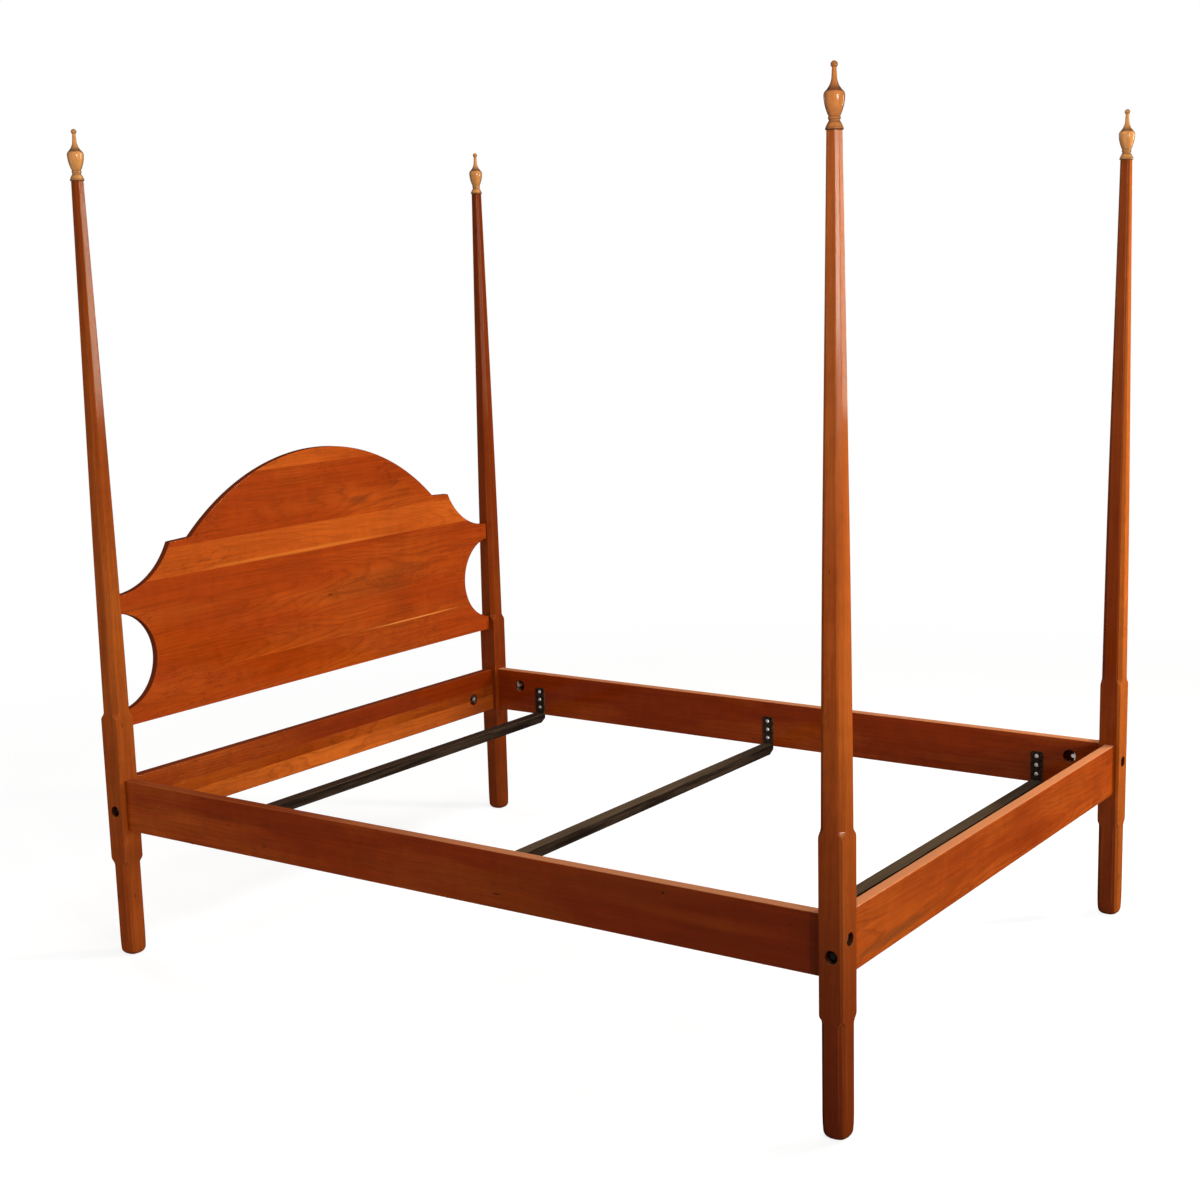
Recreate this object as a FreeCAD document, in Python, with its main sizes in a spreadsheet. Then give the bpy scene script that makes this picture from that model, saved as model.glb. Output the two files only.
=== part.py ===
"""A queen-size poster bed with four tapered, eight-sided posts, built as separate pieces.

Frame: +X across the bed, +Y towards the head, +Z up. The origin is on the floor, midway between the
four feet. Left is -X, as seen by someone who stands at the foot and looks towards the head.
"""
import FreeCAD, Part
import math
import os
import re

import Sketcher
from FreeCAD import Placement, Rotation, Vector

os.makedirs("parts", exist_ok=True)
doc = FreeCAD.newDocument("poster_bed")


# Driving sizes in millimetres: name, value, meaning.
SIZES = [
    ("post_spacing_x", 1574, "between post centres, across the bed"),
    ("post_spacing_y", 2101, "between post centres, along the bed"),
    ("post_side", 57, "side of a post's square block, and of the shaft at its foot"),
    ("post_height", 1997, "floor to the top of a post, under its finial"),
    ("block_bottom", 268, "height where the square block begins"),
    ("block_top", 632, "height where the square block ends"),
    ("stop_length", 25, "curved end of a corner chamfer"),
    ("taper_height", 1300, "height where the swelling taper turns straight"),
    ("taper_width", 45.2, "width of the shaft there"),
    ("taper_swell", 0.65, "swell of the curved taper beyond its chord, on each face"),
    ("post_top_width", 26.5, "width of the shaft under the finial"),
    ("chamfer_share", 0.22, "leg of a corner chamfer, as a share of the width there"),
    ("foot_round", 14, "radius round the underside of a foot"),
    ("end_bolt_height", 392, "height of the bolts that hold the head and foot rails"),
    ("side_bolt_height", 427, "height of the bolts that hold the side rails"),
    ("counterbore_diameter", 28, "recess for a bolt head in the outside of a post"),
    ("counterbore_depth", 16, "depth of that recess"),
    ("bolt_diameter", 9.5, "shank of a bed bolt"),
    ("bolt_hole_play", 1, "how much wider a bolt hole is than its bolt"),
    ("bolt_head_width", 14.3, "across the flats of a bolt head and of a nut"),
    ("bolt_head_height", 6.4, "height of a bolt head"),
    ("washer_diameter", 25.4, "washer under a bolt head"),
    ("washer_thickness", 2, "thickness of that washer"),
    ("nut_height", 8, "height of a nut"),
    ("thread_show", 4, "bolt end that shows past its nut"),
    ("moon_thickness", 6.5, "half-moon washer at its thickest"),
    ("moon_width", 18, "half-moon washer, measured through the rail"),
    ("rail_bottom", 341, "height of the underside of all four rails"),
    ("rail_height", 134, "height of a rail, edge to edge"),
    ("rail_thickness", 28.5, "thickness of a rail"),
    ("rail_round", 3, "radius along the edges of a rail"),
    ("rail_tenon_length", 12, "how far a rail enters a post"),
    ("rail_tenon_thickness", 16, "thickness of a rail's tenon"),
    ("rail_tenon_inset", 10, "shoulder above and below a rail's tenon"),
    ("access_diameter", 35, "blind bore in a rail where the nut is reached"),
    ("access_depth", 24, "depth of that bore"),
    ("side_access_reach", 87, "from a post to the middle of that bore, on a side rail"),
    ("end_access_reach", 100, "from a post to the middle of that bore, on a head or foot rail"),
    ("joint_gap", 0.3, "room between a tenon and its mortise"),
    ("metal_gap", 0.1, "room round a bolt, pin or screw"),
    ("board_thickness", 19, "thickness of the headboard"),
    ("board_bottom", 610, "height of the headboard's underside"),
    ("board_round", 3, "radius along the shaped edges of the headboard"),
    ("crown_top", 1270.5, "height of the headboard's arch"),
    ("crown_half_width", 502.5, "half the width of the arch at its foot"),
    ("board_corner_round", 5, "radius of the shoulder's corner, and where the arch lands"),
    ("ledge_height", 1075, "height of the ledge where the arch lands"),
    ("shoulder_half_width", 577, "half the width of the headboard across its shoulders"),
    ("shoulder_height", 1071.5, "height of the shoulder's corner"),
    ("cove_hollow", 31, "hollow of the shoulder's cove, below its chord"),
    ("neck_top", 956, "height where the cove meets a post"),
    ("neck_bottom", 906.5, "height where the round side cut-out begins, at a post"),
    ("land_top", 653.5, "height where the round side cut-out ends, at a post"),
    ("cutout_depth", 113.5, "depth of the round side cut-out"),
    ("board_tenon_length", 20, "how far the headboard enters a post"),
    ("board_tenon_thickness", 13, "thickness of the headboard's tenons"),
    ("board_tenon_inset", 4, "shoulder above and below a headboard tenon"),
    ("iron_width", 35, "width of a cross iron's flange and of its tabs"),
    ("iron_web_depth", 27, "depth of the web that stiffens a cross iron"),
    ("iron_thickness", 3.2, "thickness of its steel"),
    ("iron_bend", 3, "inside radius where the flange turns up into a tab"),
    ("iron_top", 347, "height of the flange, where the box spring rests"),
    ("iron_tab_top", 429.5, "height of a tab's upper edge"),
    ("iron_tab_round", 7, "corner radius of a tab"),
    ("iron_web_slant", 20, "length of the slanting cut at each end of the web"),
    ("iron_web_rise", 12, "height of that cut"),
    ("iron_pitch", 847.5, "between neighbouring cross irons"),
    ("iron_shift", 5, "middle cross iron, from the middle of the bed towards the head"),
    ("screw_pitch", 25.4, "between the screws of a tab"),
    ("screw_edge", 12.7, "from the upper edge of a tab to its first screw"),
    ("screw_diameter", 5.5, "shank of a wood screw"),
    ("screw_length", 24, "wood screw under its head"),
    ("screw_point", 5, "length of its point"),
    ("screw_head_diameter", 11, "round head of a wood screw"),
    ("screw_head_edge", 1.3, "straight edge of that head"),
    ("screw_head_dome", 2.7, "dome above that edge"),
    ("pin_diameter", 9.5, "loose pin between a finial and its post"),
    ("pin_in_post", 36, "length of the pin inside the post"),
    ("pin_in_finial", 22, "length of the pin inside the finial"),
    ("pin_hole_end", 4, "room under the pin"),
    ("pin_round", 1.5, "radius round the pin's lower end"),
    ("finial_height", 124.5, "height of a finial above its post"),
    ("base_radius", 17.5, "radius of the finial's flange"),
    ("base_edge_height", 4.2, "height of the flange's rounded edge"),
    ("base_edge_swell", 0.9, "swell of that edge"),
    ("base_crown_swell", 0.5, "swell of the flange's sloping top"),
    ("groove_radius", 11.1, "bottom of the groove above the flange"),
    ("groove_bottom", 15.3, "height where the groove begins"),
    ("groove_hollow", 0.6, "hollow of the groove"),
    ("bead_bottom", 18.9, "height where the bead begins"),
    ("bead_top", 24, "height where the bead ends"),
    ("bead_swell", 1, "swell of the bead"),
    ("urn_foot_radius", 11.4, "foot of the urn, above the bead"),
    ("urn_foot_level", 25.6, "height of the urn's foot"),
    ("urn_side_swell", 1.95, "swell of the urn's side"),
    ("urn_radius", 20.2, "widest part of the urn"),
    ("urn_level", 62, "height of that part"),
    ("urn_shoulder_swell", 1.07, "swell of the urn's shoulder"),
    ("lip_radius", 16.1, "crisp edge above the urn"),
    ("lip_level", 71, "height of that edge"),
    ("flare_hollow", 2.4, "hollow of the flare between the edge and the neck"),
    ("neck_foot_radius", 5.2, "foot of the neck"),
    ("neck_foot_level", 95, "height where the neck begins"),
    ("neck_radius", 4.3, "neck, just under the ball"),
    ("ball_radius", 6.8, "ball at the tip"),
    ("overrun", 10, "how far a cut runs past what it cuts"),
    ("same_place", 0.001, "two points this close count as one"),
]

# Sizes that follow from the driving ones: name, formula, meaning.
DERIVED = [
    ("half_post", "post_side / 2", "half the square block"),
    ("half_x", "post_spacing_x / 2", "post's axis from the middle, across"),
    ("half_y", "post_spacing_y / 2", "post's axis from the middle, along"),
    ("clear_half_x", "half_x - half_post", "post's inner face from the middle, across"),
    ("clear_half_y", "half_y - half_post", "post's inner face from the middle, along"),
    ("post_outside", "half_post + overrun", "clear of a post's face"),
    ("post_above", "post_height + overrun", "clear of a post's top"),
    ("stop_top", "block_top + stop_length", "upper end of the chamfer stops on the shaft"),
    ("stop_bottom", "block_bottom - stop_length", "lower end of the chamfer stops on the foot"),
    ("corner_reach", "half_post * sqrt(2)", "corner of the square block from the post's axis"),
    ("flat_scale_share", "sqrt(2) * (1 - chamfer_share)", "chamfer's distance over the shaft's half width"),
    ("flat_reach", "half_post * flat_scale_share", "chamfer from the post's axis, beside the block"),
    ("corner_outside", "corner_reach + overrun", "clear of the block's corner"),
    ("stop_fall", "(corner_reach - flat_reach) / 2", "half the depth of a chamfer stop"),
    ("stop_half", "stop_length / 2", "half the length of a chamfer stop"),
    ("stop_chord", "sqrt(stop_fall ^ 2 + stop_half ^ 2)", "chord of half a chamfer stop"),
    ("stop_swell", "stop_chord * (stop_chord - stop_half) / (2 * stop_fall)", "swell of half a stop"),
    ("taper_half", "taper_width / 2", "half the shaft where its taper turns straight"),
    ("top_half", "post_top_width / 2", "half the shaft under the finial"),
    ("taper_rise", "taper_height - stop_top", "height of the curved taper"),
    ("taper_fall", "half_post - taper_half", "fall of the curved taper"),
    ("taper_chord", "sqrt(taper_rise ^ 2 + taper_fall ^ 2)", "chord of the curved taper"),
    ("taper_radius", "(taper_chord ^ 2 / 4 + taper_swell ^ 2) / (2 * taper_swell)", "its radius"),
    ("taper_inset", "(taper_radius - taper_swell) / taper_chord", "its centre's share of its chord"),
    ("taper_centre_out", "(half_post + taper_half) / 2 - taper_rise * taper_inset", "its centre, sideways"),
    ("taper_centre_up", "(stop_top + taper_height) / 2 - taper_fall * taper_inset", "its centre, upwards"),
    ("taper_middle", "half_x - taper_centre_out", "centre of the curved taper, from the middle of the bed"),
    ("neck_end_low", "taper_middle - sqrt(taper_radius ^ 2 - (neck_bottom - taper_centre_up) ^ 2)",
     "headboard against the post's taper, at the neck's lower corner"),
    ("neck_end_high", "taper_middle - sqrt(taper_radius ^ 2 - (neck_top - taper_centre_up) ^ 2)",
     "headboard against the post's taper, at the neck's upper corner"),
    ("board_tenon_end", "clear_half_x + board_tenon_length", "end of the headboard's tenons"),
    ("land_tenon_low", "board_bottom + board_tenon_inset", "underside of the headboard's lower tenons"),
    ("land_tenon_high", "land_top - board_tenon_inset", "top of the headboard's lower tenons"),
    ("neck_tenon_low", "neck_bottom + board_tenon_inset", "underside of the headboard's upper tenons"),
    ("neck_tenon_high", "neck_top - board_tenon_inset", "top of the headboard's upper tenons"),
    ("crown_swell", "crown_top - ledge_height", "rise of the arch"),
    ("rail_top", "rail_bottom + rail_height", "height of the rails' upper edge"),
    ("rail_half", "rail_thickness / 2", "half a rail's thickness"),
    ("rail_tenon_low", "rail_bottom + rail_tenon_inset", "underside of a rail's tenon"),
    ("rail_tenon_high", "rail_top - rail_tenon_inset", "top of a rail's tenon"),
    ("bolt_radius", "bolt_diameter / 2", "bed bolt"),
    ("bolt_hole_radius", "(bolt_diameter + bolt_hole_play) / 2", "bolt hole"),
    ("counterbore_radius", "counterbore_diameter / 2", "recess for a bolt head"),
    ("counterbore_floor", "half_post - counterbore_depth", "its floor from the post's axis"),
    ("bolt_seat", "counterbore_floor + washer_thickness", "underside of a bolt head from the post's axis"),
    ("access_radius", "access_diameter / 2", "nut bore"),
    ("moon_radius", "access_radius - metal_gap", "round side of a half-moon washer"),
    ("moon_flat", "access_radius - moon_thickness", "its flat side from the middle of the bore"),
    ("moon_half", "sqrt(moon_radius ^ 2 - moon_flat ^ 2)", "half its height"),
    ("nut_end", "moon_flat - nut_height", "free side of a nut from the middle of the bore"),
    ("bolt_end", "nut_end - thread_show", "end of a bolt from the middle of the bore"),
    ("iron_half", "half_x - rail_half", "end of a cross iron, against the rail"),
    ("tab_face", "iron_half - iron_thickness", "a tab's inner face"),
    ("iron_underside", "iron_top - iron_thickness", "underside of the flange"),
    ("iron_outer_bend", "iron_bend + iron_thickness", "outside radius of the bend"),
    ("iron_web_bottom", "iron_top - iron_web_depth", "lower edge of the web"),
    ("screw_radius", "screw_diameter / 2", "shank of a wood screw"),
    ("screw_head_radius", "screw_head_diameter / 2", "head of a wood screw"),
    ("screw_head_top", "screw_head_edge + screw_head_dome", "height of that head"),
    ("screw_dome_radius", "(screw_head_radius ^ 2 / screw_head_dome + screw_head_dome) / 2", "its dome"),
    ("pin_radius", "pin_diameter / 2", "pin"),
    ("pin_hole_radius", "pin_radius + metal_gap", "pin hole in a post"),
    ("pin_hole_depth", "pin_in_post + pin_hole_end", "depth of that hole"),
    ("ball_level", "finial_height - ball_radius", "height of the ball's centre"),
    ("ball_foot", "ball_level - sqrt(ball_radius ^ 2 - neck_radius ^ 2)", "height where ball and neck meet"),
]

# One sheet holds the sizes; a second one only works out a number when an outline is first drawn.
sheet = doc.addObject("Spreadsheet::Sheet", "sizes")
working = doc.addObject("Spreadsheet::Sheet", "working")


def fill_sheet():
    """Write each size into its own row, under its own name."""
    rows = [(name, str(value), meaning) for name, value, meaning in SIZES]
    rows += [(name, "=" + formula, meaning) for name, formula, meaning in DERIVED]
    for row, (name, content, meaning) in enumerate(rows, 1):
        sheet.set("A%d" % row, name)
        sheet.set("B%d" % row, content)
        sheet.setAlias("B%d" % row, name)
        sheet.set("C%d" % row, meaning)
    doc.recompute()


fill_sheet()
NAMES = {entry[0] for entry in SIZES + DERIVED}


def bound(expression):
    """Return an expression with each size's name pointing at its cell."""
    def cell(match):
        word = match.group(0)
        return "sizes." + word if word in NAMES else word
    return re.sub(r"[a-z][a-z_]*", cell, expression)


def number(expression):
    """Return the present value of an expression."""
    working.set("A1", "=" + bound(expression))
    working.recompute()
    return float(working.get("A1"))


def signed(sign, expression):
    """Return the expression itself, or its opposite where sign is negative."""
    return expression if sign > 0 else "-(%s)" % expression


def arc_swell(radius, width, height):
    """Return how far an arc of this radius stands out from a chord of this width and height."""
    return "(%s - sqrt((%s) ^ 2 - ((%s) ^ 2 + (%s) ^ 2) / 4))" % (radius, radius, width, height)


def rectangle(left, bottom, right, top):
    """Return the corners of a rectangle."""
    return [(left, bottom), (right, bottom), (right, top), (left, top)]


def backwards(corners):
    """Return the same closed outline walked the other way, its arcs still on the same side."""
    result = []
    for place in range(len(corners) - 1, -1, -1):
        before = corners[place - 1]
        arc = ("-(%s)" % before[2],) if len(before) == 3 else ()
        result.append(corners[place][:2] + arc)
    return result


# Bodies, sketches and features.

def new_body(label, x="0", y="0", z="0", turn=0):
    """Start a body with its own label and placement; x, y and z are expressions, turn is in degrees."""
    body = doc.addObject("PartDesign::Body", label)
    body.Label = label
    body.Placement = Placement(Vector(0, 0, 0), Rotation(Vector(0, 0, 1), turn))
    for axis, expression in (("x", x), ("y", y), ("z", z)):
        body.setExpression("Placement.Base." + axis, bound(expression))
    return body


def origin_part(body, role):
    """Return one of a body's own origin planes or axes."""
    return [part for part in body.Origin.OriginFeatures if part.Role == role][0]


def new_sketch(body, name, plane, along="0", up="0", off="0", turn=0):
    """Add a sketch on an origin plane, shifted along its own three axes and turned about its upright."""
    sketch = body.newObject("Sketcher::SketchObject", name)
    sketch.AttachmentSupport = [(origin_part(body, plane), "")]
    sketch.MapMode = "FlatFace"
    sketch.AttachmentOffset = Placement(Vector(0, 0, 0), Rotation(Vector(0, 1, 0), turn))
    for axis, expression in (("x", along), ("y", up), ("z", off)):
        sketch.setExpression("AttachmentOffset.Base." + axis, bound(expression))
    return sketch


def constrain(sketch, constraint, expression):
    """Add a constraint whose size follows an expression."""
    index = sketch.addConstraint(constraint)
    sketch.setExpression("Constraints[%d]" % index, bound(expression))


def fix_point(sketch, element, end, u, v):
    """Tie a point's two coordinates to expressions, measured from the sketch's origin."""
    for kind, expression, axis in (("DistanceX", u, -2), ("DistanceY", v, -1)):
        value = number(expression)
        if abs(value) < number("same_place"):
            sketch.addConstraint(Sketcher.Constraint("PointOnObject", element, end, axis))
        elif value > 0:
            constrain(sketch, Sketcher.Constraint(kind, -1, 1, element, end, value), expression)
        else:
            opposite = "-(%s)" % expression
            constrain(sketch, Sketcher.Constraint(kind, element, end, -1, 1, -value), opposite)


def draw_arc(sketch, start, end, swell):
    """Draw an arc whose middle stands out from its chord by swell; return its ends in order and radius."""
    chord = end - start
    radius = (chord.Length ** 2 / 4 + swell ** 2) / (2 * abs(swell))
    outward = Vector(chord.y, -chord.x, 0).normalize()
    centre = (start + end) / 2 + outward * (swell - math.copysign(radius, swell))
    start_angle = math.atan2(start.y - centre.y, start.x - centre.x)
    end_angle = math.atan2(end.y - centre.y, end.x - centre.x)
    circle = Part.Circle(centre, Vector(0, 0, 1), radius)
    if swell > 0:
        sketch.addGeometry(Part.ArcOfCircle(circle, start_angle, end_angle))
        return 1, 2, radius
    sketch.addGeometry(Part.ArcOfCircle(circle, end_angle, start_angle))
    return 2, 1, radius


def draw_outline(sketch, corners):
    """Draw a closed outline, counter-clockwise, through corners given as expressions.

    A corner is (u, v) where a straight side follows, or (u, v, swell) where an arc follows. The swell
    is how far the arc's middle lies outside the straight side; a negative one hollows the outline.
    """
    first = sketch.GeometryCount
    ends = []
    for place, corner in enumerate(corners):
        following = corners[(place + 1) % len(corners)]
        start = Vector(number(corner[0]), number(corner[1]), 0)
        end = Vector(number(following[0]), number(following[1]), 0)
        if len(corner) == 2:
            sketch.addGeometry(Part.LineSegment(start, end))
            ends.append((1, 2))
            continue
        swell = number(corner[2])
        before, after, radius = draw_arc(sketch, start, end, swell)
        ends.append((before, after))
        size = signed(swell, corner[2])
        steps = (following[0], corner[0], following[1], corner[1])
        chord = "(((%s) - (%s)) ^ 2 + ((%s) - (%s)) ^ 2)" % steps
        formula = "(%s / 4 + (%s) ^ 2) / (2 * (%s))" % (chord, size, size)
        constrain(sketch, Sketcher.Constraint("Radius", first + place, radius), formula)
    for place, corner in enumerate(corners):
        before = first + (place - 1) % len(corners)
        element = first + place
        joint = (before, ends[place - 1][1], element, ends[place][0])
        sketch.addConstraint(Sketcher.Constraint("Coincident", *joint))
        fix_point(sketch, element, ends[place][0], corner[0], corner[1])


def draw_circle(sketch, radius, u="0", v="0"):
    """Draw a circle about a point; all three are expressions."""
    centre = Vector(number(u), number(v), 0)
    element = sketch.addGeometry(Part.Circle(centre, Vector(0, 0, 1), number(radius)))
    constrain(sketch, Sketcher.Constraint("Radius", element, number(radius)), radius)
    fix_point(sketch, element, 3, u, v)


def draw_hexagon(sketch, width):
    """Draw a hexagon about the sketch's origin; width is the expression across its flats."""
    side = "(%s / 2)" % width
    reach = "(%s / sqrt(3))" % width
    half_reach = "(%s / 2)" % reach
    right = [(half_reach, "-" + side), (reach, "0"), (half_reach, side)]
    left = [("-" + half_reach, side), ("-" + reach, "0"), ("-" + half_reach, "-" + side)]
    draw_outline(sketch, right + left)


def set_length(feature, length, way):
    """Give a pad or pocket its length, both ways about the sketch or to one side of it."""
    feature.SideType = "Symmetric" if way == "both" else "One side"
    adds = feature.TypeId == "PartDesign::Pad"
    feature.Reversed = way == "against" if adds else way == "along"
    feature.setExpression("Length", bound(length))


def pad(body, sketch, length, way="both"):
    """Pad a sketch both ways, along its normal or against it."""
    feature = body.newObject("PartDesign::Pad", sketch.Name + "_pad")
    feature.Profile = sketch
    set_length(feature, length, way)
    doc.recompute()
    return feature


def pocket(body, sketch, length, way="both"):
    """Cut a sketch out of the body both ways, along its normal or against it, and see that it cuts."""
    before = body.Shape.Volume
    feature = body.newObject("PartDesign::Pocket", sketch.Name + "_pocket")
    feature.Profile = sketch
    set_length(feature, length, way)
    doc.recompute()
    assert body.Shape.Volume < before, feature.Name
    return feature


def revolve(body, sketch, axis):
    """Turn a sketch about one of its own axes into a solid."""
    feature = body.newObject("PartDesign::Revolution", sketch.Name + "_revolution")
    feature.Profile = sketch
    feature.ReferenceAxis = (sketch, [axis])
    feature.Angle = 360
    doc.recompute()
    return feature


def groove(body, sketch):
    """Turn a sketch about its own horizontal axis and cut that out of the body."""
    before = body.Shape.Volume
    feature = body.newObject("PartDesign::Groove", sketch.Name + "_groove")
    feature.Profile = sketch
    feature.ReferenceAxis = (sketch, ["H_Axis"])
    feature.Angle = 360
    doc.recompute()
    assert body.Shape.Volume < before, feature.Name
    return feature


def mirror(body, features, plane):
    """Copy features to the other side of an origin plane."""
    feature = body.newObject("PartDesign::Mirrored", features[-1].Name + "_mirrored")
    feature.Originals = features
    feature.MirrorPlane = (origin_part(body, plane), [""])
    body.Tip = feature
    doc.recompute()


def mirror_to_corners(body, features):
    """Copy features from one corner of the bed to the other three."""
    feature = body.newObject("PartDesign::MultiTransform", features[-1].Name + "_corners")
    feature.Originals = features
    steps = []
    for plane in ("YZ_Plane", "XZ_Plane"):
        step = body.newObject("PartDesign::Mirrored", "%s_%s" % (feature.Name, plane))
        step.MirrorPlane = (origin_part(body, plane), [""])
        steps.append(step)
    feature.Transformations = steps
    body.Tip = feature
    doc.recompute()


def repeat_round_axis(body, features, copies):
    """Repeat features round the body's own upright axis."""
    feature = body.newObject("PartDesign::PolarPattern", features[-1].Name + "_pattern")
    feature.Originals = features
    feature.Axis = (origin_part(body, "Z_Axis"), [""])
    feature.Angle = 360
    feature.Occurrences = copies
    body.Tip = feature
    doc.recompute()


def round_edges(body, wanted, radius):
    """Round the edges that a test picks out."""
    base = body.Tip
    names = ["Edge%d" % place for place, edge in enumerate(base.Shape.Edges, 1) if wanted(edge)]
    feature = body.newObject("PartDesign::Fillet", base.Name + "_fillet")
    feature.Base = (base, names)
    feature.setExpression("Radius", bound(radius))
    doc.recompute()


def runs_along_x(edge):
    """Tell whether an edge is parallel to the body's X axis."""
    box = edge.BoundBox
    return max(box.YLength, box.ZLength) < number("same_place") < box.XLength


# Posts: a square blank tapered on four sides. Stopped chamfers make its shaft and foot eight-sided.

def shaft_side(scale):
    """Return the shaft's tapering side, from its foot up, its distances from the axis scaled."""
    return [
        ("half_post * %s" % scale, "stop_top", "taper_swell * %s" % scale),
        ("taper_half * %s" % scale, "taper_height"),
        ("top_half * %s" % scale, "post_height"),
        ("top_half * %s" % scale, "post_above"),
    ]


def taper_post(body):
    """Pad the tapered front of a post and cut the same taper on its two flanks."""
    front = new_sketch(body, body.Name + "_front", "XZ_Plane")
    draw_outline(front, [
        ("half_post", "0"),
        ("half_post", "stop_top", "taper_swell"),
        ("taper_half", "taper_height"),
        ("top_half", "post_height"),
        ("-top_half", "post_height"),
        ("-taper_half", "taper_height", "taper_swell"),
        ("-half_post", "stop_top"),
        ("-half_post", "0"),
    ])
    pad(body, front, "post_side")
    flank = new_sketch(body, body.Name + "_flank", "YZ_Plane")
    beyond = [("post_outside", "post_above"), ("post_outside", "stop_top")]
    draw_outline(flank, backwards(shaft_side("1") + beyond))
    cut = pocket(body, flank, "post_side")
    mirror(body, [cut], "XZ_Plane")


def chamfer_post(body):
    """Cut the corners of shaft and foot; each chamfer runs out against the block in a double curve."""
    halfway = "corner_reach - stop_fall"
    shaft = new_sketch(body, body.Name + "_shaft_corner", "XZ_Plane", turn=45)
    upper_stop = [
        ("corner_reach", "block_top", "stop_swell"),
        (halfway, "block_top + stop_half", "-stop_swell"),
    ]
    beyond = [("corner_outside", "post_above"), ("corner_outside", "block_top")]
    draw_outline(shaft, backwards(upper_stop + shaft_side("flat_scale_share") + beyond))
    foot = new_sketch(body, body.Name + "_foot_corner", "XZ_Plane", turn=45)
    draw_outline(foot, [
        ("corner_reach", "block_bottom", "-stop_swell"),
        (halfway, "block_bottom - stop_half", "stop_swell"),
        ("flat_reach", "stop_bottom"),
        ("flat_reach", "-overrun"),
        ("corner_outside", "-overrun"),
        ("corner_outside", "block_bottom"),
    ])
    cuts = [pocket(body, shaft, "post_side"), pocket(body, foot, "post_side")]
    repeat_round_axis(body, cuts, 4)


def drill_post(body, name, plane, height, outward):
    """Drill a stepped bolt hole through a post, wide at its outer face."""
    sketch = new_sketch(body, name, plane, up=height)
    draw_outline(sketch, [
        (signed(outward, "post_outside"), "0"),
        (signed(outward, "post_outside"), "counterbore_radius"),
        (signed(outward, "counterbore_floor"), "counterbore_radius"),
        (signed(outward, "counterbore_floor"), "bolt_hole_radius"),
        (signed(-outward, "post_outside"), "bolt_hole_radius"),
        (signed(-outward, "post_outside"), "0"),
    ])
    groove(body, sketch)


def cut_mortise(body, name, plane, inward, length, thickness, low, high):
    """Cut a mortise into a post's inner face, for a tenon of this length, thickness and height."""
    sketch = new_sketch(body, name, plane)
    floor = signed(inward, "(half_post - %s - joint_gap)" % length)
    mouth = signed(inward, "post_outside")
    draw_outline(sketch, rectangle(floor, low + " - joint_gap", mouth, high + " + joint_gap"))
    pocket(body, sketch, thickness + " + 2 * joint_gap")


def make_post(label, side_x, side_y):
    """Make a post; side_x and side_y tell which corner of the bed it stands at."""
    body = new_body(label, signed(side_x, "half_x"), signed(side_y, "half_y"))
    taper_post(body)
    chamfer_post(body)
    round_edges(body, lambda edge: edge.BoundBox.ZMax < number("same_place"), "foot_round")
    for plane, side, height, name in (
        ("XZ_Plane", side_x, "end_bolt_height", "end"),
        ("YZ_Plane", side_y, "side_bolt_height", "side"),
    ):
        drill_post(body, "%s_%s_bolt" % (label, name), plane, height, side)
        cut_mortise(body, "%s_%s_mortise" % (label, name), plane, -side,
                    "rail_tenon_length", "rail_tenon_thickness", "rail_tenon_low", "rail_tenon_high")
    if side_y > 0:
        for name in ("land", "neck"):
            low, high = name + "_tenon_low", name + "_tenon_high"
            cut_mortise(body, "%s_%s_mortise" % (label, name), "XZ_Plane", -side_x,
                        "board_tenon_length", "board_tenon_thickness", low, high)
    hole = new_sketch(body, label + "_pin_hole", "XY_Plane", off="post_height")
    draw_circle(hole, "pin_hole_radius")
    pocket(body, hole, "pin_hole_depth", "against")


# Finials: turned in one piece, each on a pin that drops into the top of its post.

def make_finial(label, side_x, side_y):
    """Make a turned finial: flange, groove, bead, urn, flaring neck and ball."""
    body = new_body(label, signed(side_x, "half_x"), signed(side_y, "half_y"), "post_height")
    sketch = new_sketch(body, label + "_profile", "XZ_Plane")
    draw_outline(sketch, [
        ("0", "0"),
        ("base_radius - base_edge_swell", "0", "base_edge_swell"),
        ("base_radius - base_edge_swell", "base_edge_height", "base_crown_swell"),
        ("groove_radius", "groove_bottom", "-groove_hollow"),
        ("groove_radius", "bead_bottom", "bead_swell"),
        ("groove_radius", "bead_top"),
        ("urn_foot_radius", "urn_foot_level", "urn_side_swell"),
        ("urn_radius", "urn_level", "urn_shoulder_swell"),
        ("lip_radius", "lip_level", "-flare_hollow"),
        ("neck_foot_radius", "neck_foot_level"),
        ("neck_radius", "ball_foot", arc_swell("ball_radius", "neck_radius", "finial_height - ball_foot")),
        ("0", "finial_height"),
    ])
    revolve(body, sketch, "V_Axis")
    hole = new_sketch(body, label + "_pin_hole", "XY_Plane")
    draw_circle(hole, "pin_radius")
    pocket(body, hole, "pin_in_finial", "along")


def make_pin(label, side_x, side_y):
    """Make a finial's pin, rounded at its lower end."""
    body = new_body(label, signed(side_x, "half_x"), signed(side_y, "half_y"), "post_height")
    sketch = new_sketch(body, label + "_section", "XY_Plane", off="-pin_in_post")
    draw_circle(sketch, "pin_radius")
    pad(body, sketch, "pin_in_post + pin_in_finial", "along")
    end = number("same_place - pin_in_post")
    round_edges(body, lambda edge: edge.BoundBox.ZMax < end, "pin_round")


# Headboard: one glued-up board with an arch, hollow shoulders and round side cut-outs.

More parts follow.
